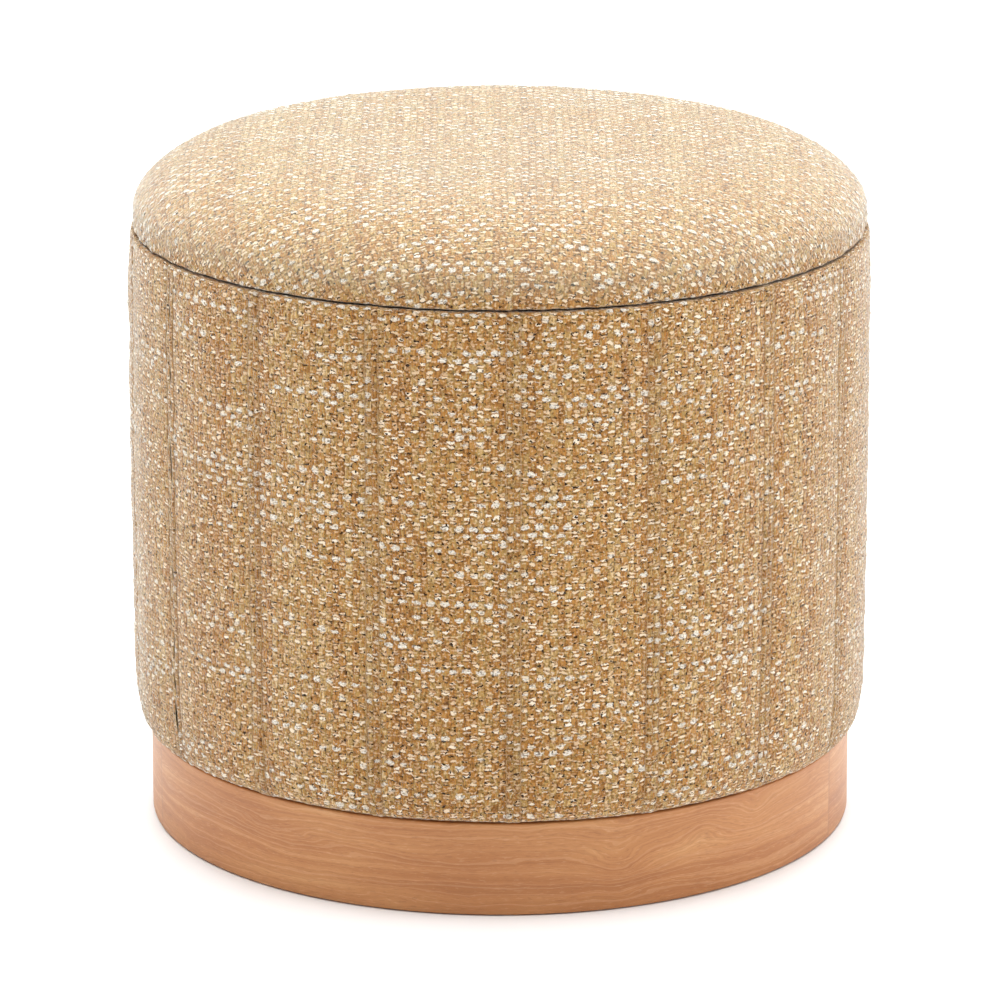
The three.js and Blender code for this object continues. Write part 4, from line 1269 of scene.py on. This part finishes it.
def wire_set(name, paths, radius, sides, material, body, slot):
    """Short lengths of wire or thread as one mesh. paths is a list of (n, 3) arrays, in mm."""
    verts, quads, tris, uvq, uvt = [], [], [], [], []
    base = 0
    for P in paths:
        P = np.asarray(P, float)
        n = len(P)
        t = np.gradient(P, axis=0)
        t /= np.linalg.norm(t, axis=1, keepdims=True)
        up = np.array([0.0, 0.0, 1.0]) if abs(t[n // 2, 2]) < 0.8 else np.array([P[0, 0], P[0, 1], 0.0])
        up = up / np.linalg.norm(up)
        if body == "base" and slot == "cover_cloth":
            up = np.array([P[0, 0], P[0, 1], 0.0]) / np.hypot(P[0, 0], P[0, 1])
            side = np.cross(np.array([0.0, 0.0, 1.0]), up)
            s_ = np.repeat(side[None, :], n, 0)
            s_ -= t * np.sum(s_ * t, axis=1, keepdims=True)
        elif np.ptp(P[:, 2]) > 0.5:
            across = P[-1] - P[0]
            side = np.array([-across[1], across[0], 0.0])
            s_ = np.repeat((side / np.linalg.norm(side))[None, :], n, 0)
        else:
            s_ = np.cross(t, up)
        s_ /= np.linalg.norm(s_, axis=1, keepdims=True)
        w = np.cross(t, s_)
        ang = np.arange(sides) * 2 * math.pi / sides
        ring = P[:, None, :] + radius * (np.cos(ang)[None, :, None] * s_[:, None, :] + np.sin(ang)[None, :, None] * w[:, None, :])
        verts.append(ring.reshape(-1, 3))
        verts.append(P[[0, -1]] + np.stack([-t[0], t[-1]]) * radius * 0.5)
        g = grid_faces(n, sides, wrap=True)
        j = np.arange(sides)
        k = (j + 1) % sides
        a0, b0 = n * sides, n * sides + 1
        tr = np.concatenate([np.stack([np.full(sides, a0), k, j], -1), np.stack([np.full(sides, b0), (n - 1) * sides + j, (n - 1) * sides + k], -1)])
        length = np.concatenate([[0], np.cumsum(np.linalg.norm(np.diff(P, axis=0), axis=1))])
        uu = np.concatenate([np.repeat(length, sides), [0, length[-1]]]) + base * 0.013
        vv = np.concatenate([np.tile(ang * radius, n), [0, 0]])
        uvq.append(np.stack([uu[g], vv[g]], -1))
        uvt.append(np.stack([uu[tr], vv[tr]], -1))
        quads.append(g + base)
        tris.append(tr + base)
        base += n * sides + 2
    ob = make_object(name, np.concatenate(verts), [np.concatenate(quads), np.concatenate(tris)], material, [np.concatenate(uvq), np.concatenate(uvt)])
    return declare(ob, body)


def staple_ring(name, radius, z, count, along_ring, body, start=0.0, crown=9.0, sink=1.0, up=1.0):
    """Staples with 9 mm crowns whose legs go into the wood; up is the side the legs point to."""
    rng = np.random.default_rng(700 + count)
    paths = []
    for i in range(count):
        a = math.radians(start + 360.0 * i / count + rng.uniform(-1.2, 1.2))
        c = np.array([math.cos(a), math.sin(a), 0.0]) * (radius + rng.uniform(-0.7, 0.7))
        turn = math.radians(rng.uniform(-14, 14)) + (math.pi / 2 if along_ring else 0.0)
        d = np.array([math.cos(a + turn), math.sin(a + turn), 0.0])
        half = crown / 2
        pts = [c - d * half + np.array([0, 0, z + up * sink]), c - d * half + np.array([0, 0, z + up * 0.25]), c - d * (half - 0.25) + np.array([0, 0, z]),
               c + np.array([0, 0, z]), c + d * (half - 0.25) + np.array([0, 0, z]), c + d * half + np.array([0, 0, z + up * 0.25]), c + d * half + np.array([0, 0, z + up * sink])]
        paths.append(np.array(pts))
    return wire_set(name, paths, 0.32, 6, STEEL, body, "steel")


dust_staples = staple_ring("dust_cover_staples", 197.6, 2.75, 36, True, "base", start=4.0, crown=7.5)
lid_staples = staple_ring("lid_lining_staples", 186.9, 364.45, 40, True, "lid", start=2.0, crown=7.5, sink=0.9)

# ------------------------------------------------------------------ topstitching of the wall
def stitch_paths():
    paths = []
    s_from, s_to = s_edge + 3.0, s_rim + 1.0
    steps = np.arange(s_from, s_to, 4.4)
    for k, th in enumerate(seam_deg[:-1]):
        if k == 0:
            left_w = math.radians(SEAMS[0] - (SEAMS[-2] - 360.0)) * 225.0
        else:
            left_w = math.radians(SEAMS[k] - SEAMS[k - 1]) * 225.0
        right_w = math.radians(SEAMS[k + 1] - SEAMS[k]) * 225.0
        for side, w in ((-1.0, left_w), (1.0, right_w)):
            dist = 4.1 if side > 0 else w - 4.1
            theta = th + side * math.degrees(4.1 / 225.0)
            for s0 in steps:
                ss = s0 + np.array([0.0, 0.4, 1.6, 2.8, 3.2]) + 0.0
                lift = np.array([-0.45, -0.04, 0.05, -0.04, -0.45])
                d, _ = wall_shape(np.full(1, theta), np.full(1, dist), np.full(1, w), ss)
                r, z, nr, nz = along(body_s, body_q, ss)
                off = d[:, 0] + lift + 0.10
                jitter = 0.12 * math.sin(s0 * 1.7 + k)
                r, z = r + off * nr, np.minimum(z + off * nz, 360.6)
                tt = math.radians(theta) + jitter / 225.0
                paths.append(np.stack([r * math.sin(tt), -r * math.cos(tt), z], -1))
    return paths


stitches = wire_set("side_cover_topstitching", stitch_paths(), 0.32, 5, THREAD, "base", "cover_cloth")

# ------------------------------------------------------------------ finishes on the solids that stay
for o in bpy.data.objects:
    if o.type != "MESH":
        continue
    name = o.name
    chosen = None
    if name in ("bottom_board", "drum_shell", "top_ring", "lid_board"):
        chosen = PLY
    elif name.startswith("plinth_block_"):
        chosen = PINE
    elif name.startswith("plinth_screw_"):
        chosen = STEEL
    if chosen is not None:
        for sl in o.material_slots:
            sl.material = chosen

# ------------------------------------------------------------------ stage and light
def stage_material():
    n = Nodes("studio_floor")
    g = n.noise(n.position(), 3.0, 2.0)
    return n.finish(n.mix(g, (0.90, 0.90, 0.90, 1), (0.93, 0.93, 0.93, 1)), 0.75, spec=0.2)


floor = make_object("studio_floor", [[-14000, -14000, 0], [14000, -14000, 0], [14000, 14000, 0], [-14000, 14000, 0]], [np.array([[0, 1, 2, 3]])], stage_material(), smooth=False)


def area(name, loc, target, size, energy, color=(1, 1, 1)):
    data = bpy.data.lights.new(name, "AREA")
    data.shape = "RECTANGLE"
    data.size, data.size_y = size
    data.energy = energy
    data.color = color
    ob = bpy.data.objects.new(name, data)
    ob.location = loc
    ob.rotation_mode = "QUATERNION"
    ob.rotation_quaternion = (Vector(target) - Vector(loc)).to_track_quat("-Z", "Y")
    scene.collection.objects.link(ob)
    return ob


sun = bpy.data.lights.new("top_soft", "SUN")
sun.energy = 4.6
sun.angle = math.radians(50)
sun_ob = bpy.data.objects.new("top_soft", sun)
sun_ob.rotation_euler = (math.radians(-6), 0, 0)
scene.collection.objects.link(sun_ob)
area("back_soft", (0.0, 1.5, 1.25), (0, 0, 0.4), (2.4, 0.9), 25, (0.80, 0.99, 1.06))
area("left_soft", (-2.3, -0.5, 0.9), (0, 0, 0.25), (1.4, 1.6), 8)
area("right_soft", (2.3, -0.5, 0.9), (0, 0, 0.25), (1.4, 1.6), 16)
world = bpy.data.worlds.new("studio")
world.use_nodes = True
world.node_tree.nodes["Background"].inputs[0].default_value = (1, 1, 1, 1)
world.node_tree.nodes["Background"].inputs[1].default_value = 0.33
scene.world = world
